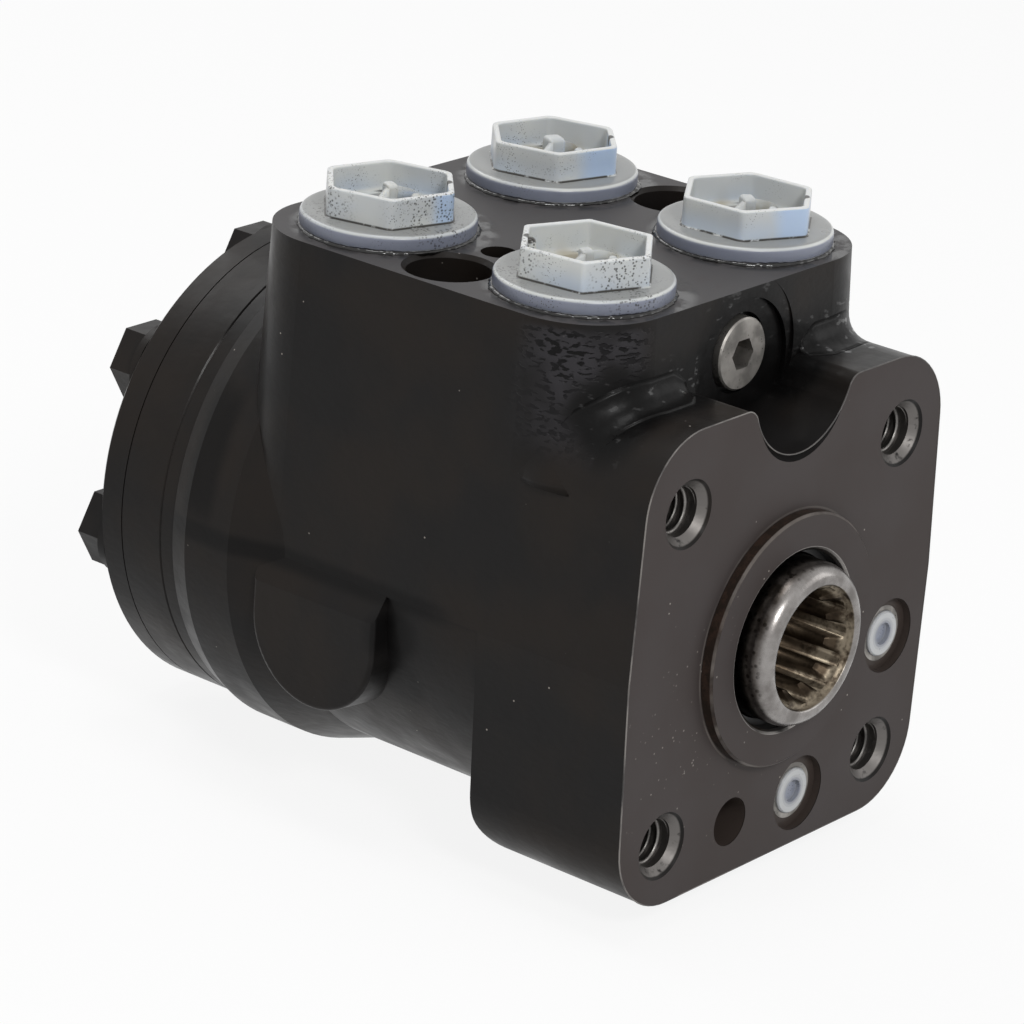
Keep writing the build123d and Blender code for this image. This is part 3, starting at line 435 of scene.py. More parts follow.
# %% Bare metal
BARE_PALE = (0.175, 0.165, 0.158)
BARE_DARK = (0.115, 0.107, 0.101)
WALL_BROWN = (0.020, 0.014, 0.011)
RUST_BROWN = (0.034, 0.021, 0.016)
# painted highlight on the pilot's front edge, with rubbed paint
PILOT_EDGE_HIGHLIGHT = (0.120, 0.105, 0.095)
PILOT_FOOT = (0.13, 0.115, 0.105)
MOUTH_METAL = (0.42, 0.40, 0.38)


def pilot_ring(paint, front):
    """The pilot's wall, its painted edge highlight, the line at its foot, and the seal's mouth."""
    radius = paint.distance(x=0, z=0)
    wall = radius.step(PILOT_RADIUS - 0.45, PILOT_RADIUS - 0.35)
    wall = wall * radius.step(PILOT_RADIUS + 0.2, PILOT_RADIUS + 0.05)
    wall = wall * paint.y.step(-0.02, -0.1)
    rust = paint.noise(420, 4, 0.75).step(0.46, 0.62)
    paint.cover(wall, rust.mix(WALL_BROWN, RUST_BROWN))
    # painted highlight with rubbed paint along the pilot's front edge
    edge = wall * paint.y.step(PILOT_FRONT + 0.55, PILOT_FRONT + 0.3)
    paint.cover(edge * paint.noise(150, 4).step(0.36, 0.62), PILOT_EDGE_HIGHLIGHT)
    mouth = radius.band(SEAL_MOUTH, 0.26, 0.12)
    mouth = mouth * paint.y.step(-1.3, -1.6) * paint.y.step(-3, -2.5)
    mouth = mouth * paint.noise(150, 3).step(0.25, 0.45)
    paint.cover(mouth, MOUTH_METAL)
    foot = radius.band(PILOT_RADIUS + 0.3, 0.24, 0.10) * front
    paint.cover(foot * paint.noise(110, 3).step(0.36, 0.60) * 0.8, PILOT_FOOT)
    return mouth


def bare_chamfers(paint):
    """The chamfers of the four mounting holes, with the distance folded into one hole."""
    across = paint.x.math("ABSOLUTE") - MOUNT_HALF
    up = paint.z.math("ABSOLUTE") - MOUNT_HALF
    hole = (across * across + up * up).math("SQRT")
    bare = hole.step(MOUNT_CORE + 1.35, MOUNT_CORE + 1.10)
    bare = bare * paint.y.step(0.02, 0.2) * paint.y.step(24, 22)
    bare = bare * paint.noise(500, 3, 0.7).step(0.25, 0.45)
    paint.cover(bare, paint.clouds.mix(BARE_PALE, BARE_DARK))
    paint.rough = bare.mix(paint.rough, 0.44)
    return bare


def paint_casting():
    """All layers of the casting's paint, in the order in which they cover each other."""
    paint = Paint("black paint on the casting")
    front = paint.y.step(0.25, 0.05) * paint.facing_y.step(-0.9, -0.98)
    top = paint.z.step(port_face - 0.25, port_face - 0.05)
    top = top * paint.facing_z.step(0.9, 0.98)
    flat = front.either(top)
    wet = pools_and_painted_shade(paint, flat)
    dented_corner_with_painted_sheen(paint, wet)
    painted_hollow_shade(paint)
    machined_faces(paint, front, top, flat)
    mouth = pilot_ring(paint, front)
    paint.link(Metallic=bare_chamfers(paint).either(mouth))
    return paint.sprayed()


housing_paint = paint_casting()
wear(housing_paint, "housing")
print("painted:", housing_paint.name, "with", len(housing_paint.node_tree.nodes), "nodes")

# %% [markdown]
# ## Steel
#
# The valve screws are turned steel, dull and speckled, and the inner parts are hardened
# and brighter. The input spool is ground: its nose is polished by handling, its side
# carries a dark oily film with specks, and the broached splines are brown with dried oil,
# with painted light on their gaps near the mouth.


# %% Bare steel
def steel(name, tint, low, high, marks=3000):
    """Bare steel with fine turning marks and an oily gloss between two roughnesses."""
    finish = Finish(name)
    film = finish.noise(220, 3)
    specks = finish.cells(1400).step(0.22, 0.10) * finish.noise(300, 2).step(0.45, 0.62)
    base = film.step(0.35, 0.65).mix(tint, [0.45 * part for part in tint])
    base = specks.mix(base, [0.12 * part for part in tint])
    finish.link(Base_Color=base, Roughness=film.step(0.3, 0.7).mix(low, high))
    finish.bump(finish.noise(marks, 3), 0.012)
    finish.set(Metallic=1.0)
    return finish.material


screw_steel = steel("turned screw steel", (0.40, 0.38, 0.355), 0.42, 0.58, 1600)
hard_steel = steel("hardened steel", (0.42, 0.42, 0.43), 0.22, 0.38)
spring_steel = steel("spring steel", (0.30, 0.30, 0.31), 0.30, 0.50)
thread_steel = steel("cut thread steel", (0.22, 0.21, 0.20), 0.34, 0.50)
HARD_PARTS = """
control_sleeve front_bearing_race rear_bearing_race needle_cage bearing_needles cross_pin
spring_retaining_ring cardan_shaft cardan_spacer gear_rotor roll_pin relief_poppet
shock_ball_right shock_ball_lower check_ball suction_ball_left suction_ball_right
suction_pin_left suction_pin_right
"""
wear(screw_steel, "relief_plug", "shock_screw_right", "shock_screw_lower", "check_bushing")
wear(hard_steel, *HARD_PARTS.split())
wear(spring_steel, "centring_springs")
print("hard parts:", len(HARD_PARTS.split()))

# %% The input spool's oiled steel
BRIGHT, BRIGHT_FILM = (0.30, 0.285, 0.275), (0.165, 0.153, 0.145)
OILY, OILY_FILM = (0.105, 0.094, 0.087), (0.030, 0.025, 0.021)
BROWN, BROWN_FILM = (0.070, 0.053, 0.036), (0.028, 0.020, 0.014)
# painted light on the spline gaps near the mouth
LIT_GAP_BRONZE = (0.200, 0.168, 0.125)
SPECK_BLACK = (0.012, 0.010, 0.008)
NOSE_MOUTH = 10.95


def oiled_spool():
    """Bright rounded nose, dark speckled side, brown splines; painted light on gaps at the mouth.
    """
    finish = Finish("oiled spool steel")
    radius = finish.distance(x=0, z=0)
    film = finish.noise(190, 4, 0.65)
    soft_film = film.step(0.3, 0.7)
    inside = radius.step(NOSE_MOUTH + 0.1, NOSE_MOUTH - 0.1)
    side = finish.y.step(-6.1, -4.5) * radius.step(12.9, 13.9)
    # painted light: paler bronze on the spline gaps near the mouth, over the brown oil
    gaps = radius.step(9.5, 10.0) * finish.y.step(4, -1)
    brown = (gaps * film.step(0.62, 0.40)).mix(soft_film.mix(BROWN, BROWN_FILM), LIT_GAP_BRONZE)
    oily = film.step(0.35, 0.65).mix(OILY, OILY_FILM)
    base = inside.mix(side.mix(soft_film.mix(BRIGHT, BRIGHT_FILM), oily), brown)
    specks = finish.cells(900).step(0.42, 0.22) * finish.noise(260, 2).step(0.36, 0.52)
    base = (specks * (side * 0.85 + inside * 0.35)).mix(base, SPECK_BLACK)
    rough = inside.mix(side.mix(soft_film.mix(0.22, 0.34), 0.30), 0.42)
    finish.link(Base_Color=base, Roughness=rough)
    finish.bump(finish.noise(2600, 3) + specks * 0.6, 0.012)
    finish.set(Metallic=1.0)
    return finish.material


spool_steel = oiled_spool()
print("spool finish ready")

# %% [markdown]
# ## Plastic and rubber
#
# The transport plugs are milky polyethylene, which light enters a little way. Their lower
# walls, a spot at each plug's right corner and the disc's side are coloured blue as painted
# shade, and a white painted highlight runs along the rims. Handling has left black specks on
# the walls and brown dirt inside the cups, and a broken dark line runs round the foot of
# each hexagon. The caps of the shock valves are a pale ring round a grey blue middle.

# %% Places on the plugs
DISC_HEIGHT = 3.1
PLUG_HEIGHT = 8.3
disc_top = port_face + DISC_HEIGHT
plug_top = port_face + PLUG_HEIGHT
PLUG_TURNS = (37.0, 34.0, 42.8, 43.5)
NOTCH_ANGLES = (125.0, -56.0, -47.2, -46.5)
# reach of the painted blue shade at each plug's right corner
BLUE_REACHES = (None, 8, 5, 10)
SPECKLED = (True, False, True, False)


def polar(centre, reach, angle):
    """The coordinates at a reach and an angle in degrees from a centre."""
    x = centre[0] + reach * np.cos(np.radians(angle))
    return x, centre[1] + reach * np.sin(np.radians(angle))


notches = [polar(centre, 9.3, angle) for centre, angle in zip(plug_centres, NOTCH_ANGLES)]

# %% Milky plastic
MILK, MILK_SHADE = (0.60, 0.612, 0.59), (0.51, 0.53, 0.535)
# painted blue shade on the plugs' walls
PAINTED_BLUE_SHADE = (0.43, 0.54, 0.70)
# the second colour is a bluer painted shade on the disc's side
DISC_FLAT, DISC_SIDE_SHADE = (0.27, 0.275, 0.27), (0.215, 0.232, 0.290)
CUP_YELLOW = (0.33, 0.28, 0.18)
# painted highlight along the plug rims
RIM_HIGHLIGHT_WHITE = (0.66, 0.67, 0.66)
DARK_MARKS = (0.020, 0.018, 0.014)


def spot(finish, size, *place):
    """1 at a place beside a plug's middle and 0 beyond a size."""
    x, y = polar(*place)
    return near(finish, size, x=x, y=y)


def plug_tones(finish, walls, clouds):
    """Milk, painted blue shade low on walls, at right corners and on the disc's side; grey disc.
    """
    # painted shade: a blue tint low on the walls and near each plug's right corner
    low_wall = finish.z.step(disc_top + 4.6, disc_top + 0.6)
    blue = walls * low_wall * finish.noise(60, 1).step(0.38, 0.62) * 0.45
    for centre, turned, reach in zip(plug_centres, PLUG_TURNS, BLUE_REACHES):
        if reach:
            blue = blue.either(spot(finish, reach, centre, 11, turned - 118) * walls)
    blue = blue * finish.z.step(disc_top, disc_top + 0.1)
    base = blue.mix(clouds.step(0.35, 0.65).mix(MILK, MILK_SHADE), PAINTED_BLUE_SHADE)
    disc_flat = finish.z.step(disc_top + 0.05, disc_top) * finish.facing_z.step(0.8, 0.95)
    # painted shade: the disc's side darker and bluer than its top
    disc_side = walls * finish.z.step(disc_top + 0.1, disc_top - 0.2)
    return disc_side.mix(disc_flat.mix(base, DISC_FLAT), DISC_SIDE_SHADE)


def plug_marks(finish, inside):
    """Specks, a broken dark line at the foot of the hexagon and a dark spot at each rim notch."""
    dirt = finish.cells(2600).step(0.30, 0.14) * finish.noise(120, 3, 0.6).step(0.50, 0.68)
    crumbs = finish.cells(1900).step(0.46, 0.26) * finish.noise(620, 2).step(0.42, 0.52)
    for centre, turned, speckled in zip(plug_centres, PLUG_TURNS, SPECKLED):
        if speckled:
            left_wall = spot(finish, 8, centre, 11, turned - 140)
            back_of_cup = spot(finish, 8, centre, 9, turned + 105)
            dirt = dirt.either(crumbs * left_wall.either(back_of_cup) * 0.8)
    # a broken dark line round the foot of each hexagon, where it meets the disc
    line = finish.z.step(disc_top + 0.42, disc_top + 0.18)
    line = line * finish.z.step(disc_top + 0.005, disc_top + 0.02)
    line = line * finish.noise(240, 4, 0.7).step(0.36, 0.48)
    dirt = dirt.either(line * (1 - inside))
    for x, y in notches:
        notch = finish.distance(x=x, y=y, z=plug_top - 0.5)
        dirt = dirt.either(notch.step(1.35, 1.05))
    return dirt


def plug_finish():
    """Milky polyethylene, painted blue shade, a painted rim highlight, and dirt from hands."""
    finish = Finish("milky plug plastic")
    clouds = finish.noise(75, 2)
    walls = finish.facing_z.math("ABSOLUTE").step(0.6, 0.2)
    cups = [finish.distance(x=x, y=y).step(9.6, 9.0) for x, y in plug_centres]
    inside = any_of(cups) * finish.z.step(disc_top - 0.1, disc_top)
    base = plug_tones(finish, walls, clouds)
    yellow = inside * finish.noise(110, 3).step(0.40, 0.66) * finish.z.step(plug_top, disc_top)
    base = (yellow * 0.8).mix(base, CUP_YELLOW)
    # painted highlight: a white band along the top of each rim
    base = finish.z.step(plug_top - 0.32, plug_top - 0.12).mix(base, RIM_HIGHLIGHT_WHITE)
    dirt = plug_marks(finish, inside)
    finish.link(Base_Color=dirt.mix(base, DARK_MARKS), Roughness=clouds.mix(0.24, 0.38))
    finish.set(Subsurface_Weight=0.25, Subsurface_Radius=(0.9, 1.0, 1.3))
    finish.set(Subsurface_Scale=0.0012, Specular_IOR_Level=0.45)
    finish.bump(finish.noise(500, 2) + dirt * 0.4, 0.02)
    return finish.material


plug_plastic = plug_finish()
print("plug plastic ready")

# %% Caps and rubber
CAP_RING, CAP_MIDDLE = (0.50, 0.51, 0.515), (0.235, 0.255, 0.315)
CAP_LINES, CAP_GROOVE = (0.22, 0.23, 0.26), (0.15, 0.16, 0.20)
CAP_RIM, CAP_DIRT = (0.11, 0.105, 0.10), (0.05, 0.05, 0.045)
LINE_WAVES = 5.2


def cap_finish():
    """A pale ring round a grey blue middle, with fine turned lines, on both caps."""
    finish = Finish("shock cap plastic")
    places = [middle_of(cap) for cap in CAPS]
    right, lower = (finish.distance(x=place.x, z=place.z) for place in places)
    radius = right.math("MINIMUM", lower)
    base = radius.step(3.0, 1.2).mix(CAP_RING, CAP_MIDDLE)
    lines = (radius * LINE_WAVES).math("SINE").step(0.2, 0.9)
    base = (lines * 0.25).mix(base, CAP_LINES)
    base = (radius.band(2.2, 0.35, 0.15) * 0.45).mix(base, CAP_GROOVE)
    base = (radius.step(3.9, 4.3) * 0.75).mix(base, CAP_RIM)
    dirt = finish.cells(1800).step(0.25, 0.12) * finish.noise(200, 2).step(0.50, 0.64)
    rough = finish.noise(300, 1).mix(0.25, 0.4)
    finish.link(Base_Color=dirt.mix(base, CAP_DIRT), Roughness=rough)
    finish.set(Subsurface_Weight=0.2, Subsurface_Radius=(0.9, 1.0, 1.3), Subsurface_Scale=0.001)
    finish.bump(finish.noise(600, 1), 0.01)
    return finish.material


wear(cap_finish(), *CAPS)
rubber = Finish("seal rubber")
rubber.link(Roughness=rubber.noise(300, 2).mix(0.35, 0.55))
rubber.set(Base_Color=(0.010, 0.010, 0.010, 1))
wear(rubber.material, "dust_seal", "shaft_seal", "plate_seal", "gear_ring_seal", "cover_seal")
print("caps and seals done")

# %% [markdown]
# ## Meshes from sections
#
# Every added piece is a surface worked out as whole arrays. A ribbon joins closed sections
# one after the other, for ridges and beads. A shell joins rings from one pole to the other,
# for turned and moulded shapes. Doubles are merged and the faces turned outwards at the end.


# %% Ribbons and shells
def points(*parts):
    """Points from arrays of their coordinates, all spread to one shape."""
    return np.stack(np.broadcast_arrays(*parts), axis=-1)


def ribbon(sections, loop=False):
    """Join sections, an array of n sections by k points, into a closed tube.
    Each quad spans two neighbouring sections; open ends are closed by one face each."""
    n, k, _ = sections.shape
    last = n if loop else n - 1
    i = np.arange(last)[:, None]
    j = np.arange(k)[None, :]
    ahead, aside = (i + 1) % n, (j + 1) % k
    quads = points(i * k + j, ahead * k + j, ahead * k + aside, i * k + aside)
    faces = quads.reshape(-1, 4).tolist()
    if not loop:
        faces.append(list(range(k)))
        faces.append(list(range((n - 1) * k, n * k)))
    return sections.reshape(-1, 3), faces


def shell(rings):
    """Join rings, an array of n rings by k points, whose first and last are poles."""
    n, k, _ = rings.shape
    i = np.arange(n - 1)[:, None]
    j = np.arange(k)[None, :]
    aside = (j + 1) % k
    quads = points(i * k + j, (i + 1) * k + j, (i + 1) * k + aside, i * k + aside)
    return rings.reshape(-1, 3), quads.reshape(-1, 4).tolist()


# %% Meshes and pieces
def clean(mesh):
    """Merge doubles and turn the faces outwards."""
    work = bmesh.new()
    work.from_mesh(mesh)
    bmesh.ops.remove_doubles(work, verts=work.verts, dist=0.0005 * MM)
    bmesh.ops.recalc_face_normals(work, faces=work.faces)
    work.to_mesh(mesh)
    work.free()


def add_object(name, data):
    """A new object at the origin, in the scene."""
    made = bpy.data.objects.new(name, data)
    scene.collection.objects.link(made)
    return made


def smooth(mesh):
    """Shade every face smooth."""
    mesh.polygons.foreach_set("use_smooth", np.ones(len(mesh.polygons), bool))


def joined_mesh(name, parts):
    """One clean mesh, in metres, from several (places, faces) parts in millimetres."""
    places, faces = [], []
    for part_places, part_faces in parts:
        start = sum(len(done) for done in places)
        places.append(part_places)
        faces += [[start + corner for corner in face] for face in part_faces]
    mesh = bpy.data.meshes.new(name)
    mesh.from_pydata((np.concatenate(places) * MM).tolist(), [], faces)
    clean(mesh)
    return mesh


def make_piece(name, parts, body, material):
    """One smooth piece that rides on a body."""
    mesh = joined_mesh(name, parts)
    smooth(mesh)
    mesh.materials.append(material)
    piece = add_object(name, mesh)
    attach(piece, body)
    print(name, "faces:", len(mesh.polygons))
    return piece


def copy_of_node(node, name, material):
    """A cleaned copy of a CAD node's mesh as an object of its own, free to be reshaped."""
    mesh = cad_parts[node].data.copy()
    clean(mesh)
    mesh.materials.clear()
    mesh.materials.append(material)
    return add_object(name, mesh)


def stand_in(piece, body, node):
    """Let a bare steel piece ride on a body in a CAD node's stead."""
    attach(piece, body)
    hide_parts(node)


# %% [markdown]
# ## Threads in the mounting holes
#
# A tapped hole shows its thread as bright crests between dark grooves. The CAD hole is a
# plain bore at the thread's core, so the crests are added as a thin spiral ridge on its
# wall: a profile carried along a helix, which grows from nothing over its first half turn
# as a tap leaves it.


# %% Spiral ridges
RIDGE_HEIGHT = np.array([-0.05, 1.0, 1.0, -0.05])
RIDGE_ALONG = np.array([-0.30, -0.05, 0.05, 0.30])
CREST = 3.55
PITCH = 1.75
THREAD_START, THREAD_END = 2.1, 17.5


def thread(centre, steps=40):
    """Sections of a spiral ridge in a bore along Y. Angle a runs along the helix, which
    advances one pitch each turn; the section is a narrow ridge from wall to crest, whose
    height grows in proportion to a over the first half turn."""
    turns = (THREAD_END - THREAD_START) / PITCH
    a = np.linspace(0, 2 * np.pi * turns, int(turns * steps))[:, None]
    grown = np.clip(a / np.pi, 0.05, 1)
    height = RIDGE_HEIGHT[None, :] * (MOUNT_CORE - CREST)
    radius = MOUNT_CORE - height * np.where(height > 0, grown, 1)
    along = RIDGE_ALONG[None, :] * PITCH * grown
    x = centre[0] + radius * np.cos(a)
    z = centre[1] + radius * np.sin(a)
    return points(x, THREAD_START + PITCH * a / (2 * np.pi) + along, z)


holes = [(x * MOUNT_HALF, z * MOUNT_HALF) for x in (-1, 1) for z in (-1, 1)]
ridges = [ribbon(thread(hole)) for hole in holes]
make_piece("mounting_threads", ridges, "casing", thread_steel)

# %% [markdown]
# ## Blend at the foot of the port block
#
# Where the port block rises from the flange's rounded top, the casting has a soft hollow
# full of paint. It is a bead with a concave face, carried round each front corner of the
# block: one edge of it lies on the block's wall and the other on the flange's top.

# %% Hollow blend, left and right
BLOCK_CORNER = 15.0
BLOCK_CORNER_X = 24.0
FLANGE_TOP = 43.2
FLANGE_ARC = 13.5
FLANGE_ARC_X = 26.65
DRAFT = np.tan(np.radians(2.4))
BLEND, BLEND_DEPTH = 4.6, 0.8
BLEND_START = 15.5
BLEND_TURN, BLEND_FADE = np.radians(84), np.radians(30)


def flange_height(x):
    """Height of the flange's top at x: flat, then a round of radius FLANGE_ARC."""
    run = np.clip(np.abs(x) - FLANGE_ARC_X, 0, FLANGE_ARC * 0.999)
    return FLANGE_TOP - FLANGE_ARC + np.sqrt(FLANGE_ARC**2 - run**2)


def foot_blend(side, straight=13, steps=60, across=9):
    """Sections of the bead. The path runs along the block's front, then round its corner
    by angle a; out is the direction away from the wall. Each section is a quadratic curve
    from the wall to the flange whose middle control point is their meeting line."""
    run = np.linspace(BLEND_START, BLOCK_CORNER_X, straight, endpoint=False)
    a = np.concatenate([np.zeros(straight), np.linspace(0, BLEND_TURN, steps)])
    wall_x = np.concatenate([run, np.full(steps, BLOCK_CORNER_X)]) + BLOCK_CORNER * np.sin(a)
    wall_y = BLOCK_FRONT + BLOCK_CORNER * (1 - np.cos(a))
    out_x, out_y = np.sin(a), -np.cos(a)
    drop = (port_face - flange_height(wall_x)) * DRAFT
    foot_x, foot_y = wall_x + out_x * drop, wall_y + out_y * drop
    taper = np.clip((BLEND_TURN - a) / BLEND_FADE, 0.05, 1)
    taper = taper * np.clip((foot_x - 14) / 5, 0.1, 1) ** 0.7
    reach = BLEND * taper
    foot = points(foot_x, foot_y, flange_height(foot_x))
    wall = foot + points(-out_x * DRAFT * reach, -out_y * DRAFT * reach, reach)
    toe_x, toe_y = foot_x + out_x * reach, foot_y + out_y * reach
    toe = points(toe_x, toe_y, flange_height(toe_x))
    t = np.linspace(0, 1, across)[None, :, None]
    curve = (1 - t) ** 2 * wall[:, None] + 2 * t * (1 - t) * foot[:, None] + t**2 * toe[:, None]
    lift = 0.03 * np.sin(np.pi * t) * np.array([0, 0, 1.0])
    inner = foot - points(out_x, out_y, 1) * BLEND_DEPTH
    sections = np.concatenate([curve + lift, inner[:, None]], axis=1)
    return sections * np.array([side, 1, 1])


blends = [ribbon(foot_blend(side)) for side in (-1, 1)]
make_piece("foot_blend", blends, "casing", housing_paint)

# %% [markdown]
# ## Edge of the mounting face: chipped paint and a painted highlight
#
# Paint is thinnest on the sharp outline of the machined face and is chipped there, and the
# edge's highlight is painted on as well, so a fine grey line runs round it, stronger towards
# the left. It is a hair-thin bead along the flange's outline, straight sides joined by round
# corners, that sinks in and out of the edge.

# %% Outline bead
def round_corner(before, corner, after, radius, steps=14):
    """Arc that rounds a corner: a rational quadratic curve between the two points where
    the circle touches the sides, with the corner as its middle control point and the sine
    of half the corner's angle as that point's weight."""
    before, corner, after = (np.array(point) for point in (before, corner, after))
    back = (before - corner) / np.linalg.norm(before - corner)
    ahead = (after - corner) / np.linalg.norm(after - corner)
    half = np.arccos(back @ ahead) / 2
    t = np.linspace(0, 1, steps)[:, None]
    weight = np.sin(half)
    low, middle, high = (1 - t) ** 2, 2 * weight * t * (1 - t), t**2
    start, end = corner + back * radius / np.tan(half), corner + ahead * radius / np.tan(half)
    return (low * start + middle * corner + high * end) / (low + middle + high)


def arc(centre, radius, start, end, steps=24):
    """Points on a circle between two angles in degrees."""
    return points(*polar(centre, radius, np.linspace(start, end, steps)))


SHOULDER, WAIST, FOOT = (39.6, FLANGE_TOP), (41.32, 2.2), (40, -40)
SCALLOP_MIDDLE, SCALLOP_RADIUS = (0, 46.1), 13.4
LIP_MIDDLE, LIP_RADIUS = (15.3, 40.2), 3
LIP_ANGLE = 158.9


def flange_path():
    """Half of the flange's outline from the scallop's middle to the foot, then mirrored."""
    half = np.concatenate(
        [
            arc(SCALLOP_MIDDLE, SCALLOP_RADIUS, 270, LIP_ANGLE + 180),
            arc(LIP_MIDDLE, LIP_RADIUS, LIP_ANGLE, 90, 8),
            round_corner((0, FLANGE_TOP), SHOULDER, WAIST, FLANGE_ARC),
            round_corner(SHOULDER, WAIST, FOOT, 3, 4),
            round_corner(WAIST, FOOT, (0, FOOT[1]), FLANGE_ARC),
        ]
    )
    return np.concatenate([half, (half * np.array([-1, 1]))[::-1][:-1]])


def edge_bead(path, thickness, level):
    """Sections of a six-sided bead round a closed path in the plane Y = level. Each section
    spans the path's outward normal and Y."""
    ahead = np.roll(path, -1, axis=0) - np.roll(path, 1, axis=0)
    ahead = ahead / np.linalg.norm(ahead, axis=1, keepdims=True)
    out = points(-ahead[:, 1], ahead[:, 0])
    a = np.linspace(0, 2 * np.pi, 6, endpoint=False)[None, :]
    x = path[:, :1] + out[:, :1] * thickness * np.cos(a)
    z = path[:, 1:] + out[:, 1:] * thickness * np.cos(a)
    return points(x, level + thickness * np.sin(a), z)


# the grey is chipped paint and a painted highlight on the edge
EDGE_BLACK, CHIP_AND_HIGHLIGHT_GREY = (0.030, 0.027, 0.026), (0.20, 0.185, 0.172)
rubbed = Finish("chipped paint edge with painted highlight")
# painted highlight with chipped paint: grey on the edge, stronger towards the left
stronger_to_the_left = rubbed.x.step(10, -30) * 0.7 + 0.3
chips_and_highlight = rubbed.noise(95, 4, 0.6).step(0.36, 0.60) * stronger_to_the_left
rubbed.link(Base_Color=chips_and_highlight.mix(EDGE_BLACK, CHIP_AND_HIGHLIGHT_GREY))
rubbed.set(Roughness=0.35, Specular_IOR_Level=0.4)
bead = ribbon(edge_bead(flange_path(), 0.13, 0.05), loop=True)
make_piece("flange_edge", [bead], "casing", rubbed.material)

# %% [markdown]
# ## Transport plugs
#
# Each plug is one moulding: a round disc with a soft edge, a hexagonal cup with thin walls
# on top of it, and a hollow threaded shank below. All of it is one profile carried round
# the port's axis, whose radius is a circle's for the disc and the shank and a rounded
# hexagon's for the cup. A post with two fins and a small nub stand inside the cup, and in
# the front left plug a dark stub as well.


# %% Rounded hexagon
HEX = 10.6
DISC = 15.0
CUP_WALL = 1.2
SHANK = 9.02
SHANK_PITCH = 1.8
SHANK_RIDGE = 0.45
HALF_SIDE = np.radians(30)


def hexagon(angle, turned, flat, corner):
    """Radius of a rounded hexagon at an angle. Within a side it is the flat's distance
    over the cosine of the angle from the side's middle; near a corner it is the far
    crossing with the corner's circle."""
    from_middle = np.abs(np.mod(angle - turned, 2 * HALF_SIDE) - HALF_SIDE)
    from_corner = HALF_SIDE - from_middle
    centre = (flat - corner) / np.cos(HALF_SIDE)
    limit = np.arctan((flat - corner) * np.tan(HALF_SIDE) / flat)
    under = np.maximum(corner**2 - (centre * np.sin(from_corner)) ** 2, 0)
    rounded = centre * np.cos(from_corner) + np.sqrt(under)
    return np.where(from_middle < limit, flat / np.cos(from_middle), rounded)


print("hexagon ready, inradius", HEX, "mm")


# %% Plug profile
def bend(start, corner, end, steps=6):
    """Quadratic curve of (radius, height, share of hexagon) points round a corner."""
    t = np.linspace(0, 1, steps)[:, None]
    start, corner, end = np.array(start), np.array(corner), np.array(end)
    return (1 - t) ** 2 * start + 2 * t * (1 - t) * corner + t**2 * end


def plug_profile():
    """Radius, height above the port face and share of hexagon, from the middle of the
    cup's floor over the rim and the disc to the middle of the shank."""
    flat, inner = HEX, HEX - CUP_WALL
    disc, shank, floor, top = DISC, SHANK, DISC_HEIGHT, PLUG_HEIGHT
    depth = np.linspace(-1.2, -10.2, 55)
    ridge = np.maximum(0, np.cos(2 * np.pi * depth / SHANK_PITCH))
    thread_rows = points(shank - SHANK_RIDGE * (1 - ridge), depth, 0)
    return np.concatenate(
        [
            [(0, floor, 1), (inner * 0.5, floor, 1)],
            bend((inner - 1.3, floor, 1), (inner - 0.1, floor, 1), (inner, floor + 1.3, 1)),
            bend((inner + 0.1, top - 0.45, 1), (inner + 0.1, top, 1), (inner + 0.5, top, 1), 5),
            bend((flat - 0.45, top, 1), (flat - 0.05, top, 1), (flat - 0.05, top - 0.45, 1), 5),
            [(flat - 0.02, (top + floor) / 2, 1)],
            bend((flat, floor + 0.4, 1), (flat, floor, 1), (flat + 0.35, floor, 1), 4),
            [(flat + 1.0, floor - 0.02, 0.8), (13.4, floor - 0.04, 0)],
            bend((13.9, floor - 0.05, 0), (disc, floor - 0.1, 0), (disc, floor - 1.0, 0), 7),
            bend((disc, 0.8, 0), (disc, 0.12, 0), (disc - 0.7, 0.1, 0), 5),
            [(shank + 0.4, 0.1, 0), (shank, -0.4, 0)],
            thread_rows,
            [(shank - 0.6, -10.9, 0), (shank - 1.7, -11, 0), (shank - 1.7, 0.9, 0), (0, 0.9, 0)],
        ]
    )


def plug_shell(centre, turned, corner, columns=180):
    """The profile carried round the port's axis; each row's outline mixes a circle and a
    rounded hexagon by the row's share of hexagon."""
    rows = plug_profile()
    angle = np.linspace(0, 2 * np.pi, columns, endpoint=False)
    radius, height, share = rows[:, :1], rows[:, 1:2], rows[:, 2:]
    shape = hexagon(angle, np.radians(turned), HEX, corner)[None, :] / HEX
    reach = radius * (1 + share * (shape - 1))
    x = centre[0] + reach * np.cos(angle)[None, :]
    y = centre[1] + reach * np.sin(angle)[None, :]
    return shell(points(x, y, port_face + height))


print("plug profile rows:", len(plug_profile()))


# %% What stands in the cups
def soft_block(centre, half, turned=0.0, power=0.4, steps=20):
    """A closed rounded block: a ball whose sine and cosine are raised to a power below 1,
    which squares it; turned is its angle in plan, in degrees."""
    v = np.linspace(-np.pi / 2, np.pi / 2, steps)[:, None]
    u = np.linspace(0, 2 * np.pi, 2 * steps, endpoint=False)[None, :]

    def squared(value):
        """The value's sign times its size to the power; near 0 it is exactly 0."""
        return np.sign(value) * np.where(np.abs(value) < 1e-9, 0, np.abs(value)) ** power

    a = half[0] * squared(np.cos(v)) * squared(np.cos(u))
    b = half[1] * squared(np.cos(v)) * squared(np.sin(u))
    c = half[2] * squared(np.sin(v))
    cos, sin = np.cos(np.radians(turned)), np.sin(np.radians(turned))
    x, y = centre[0] + a * cos - b * sin, centre[1] + a * sin + b * cos
    return shell(points(x, y, centre[2] + c))


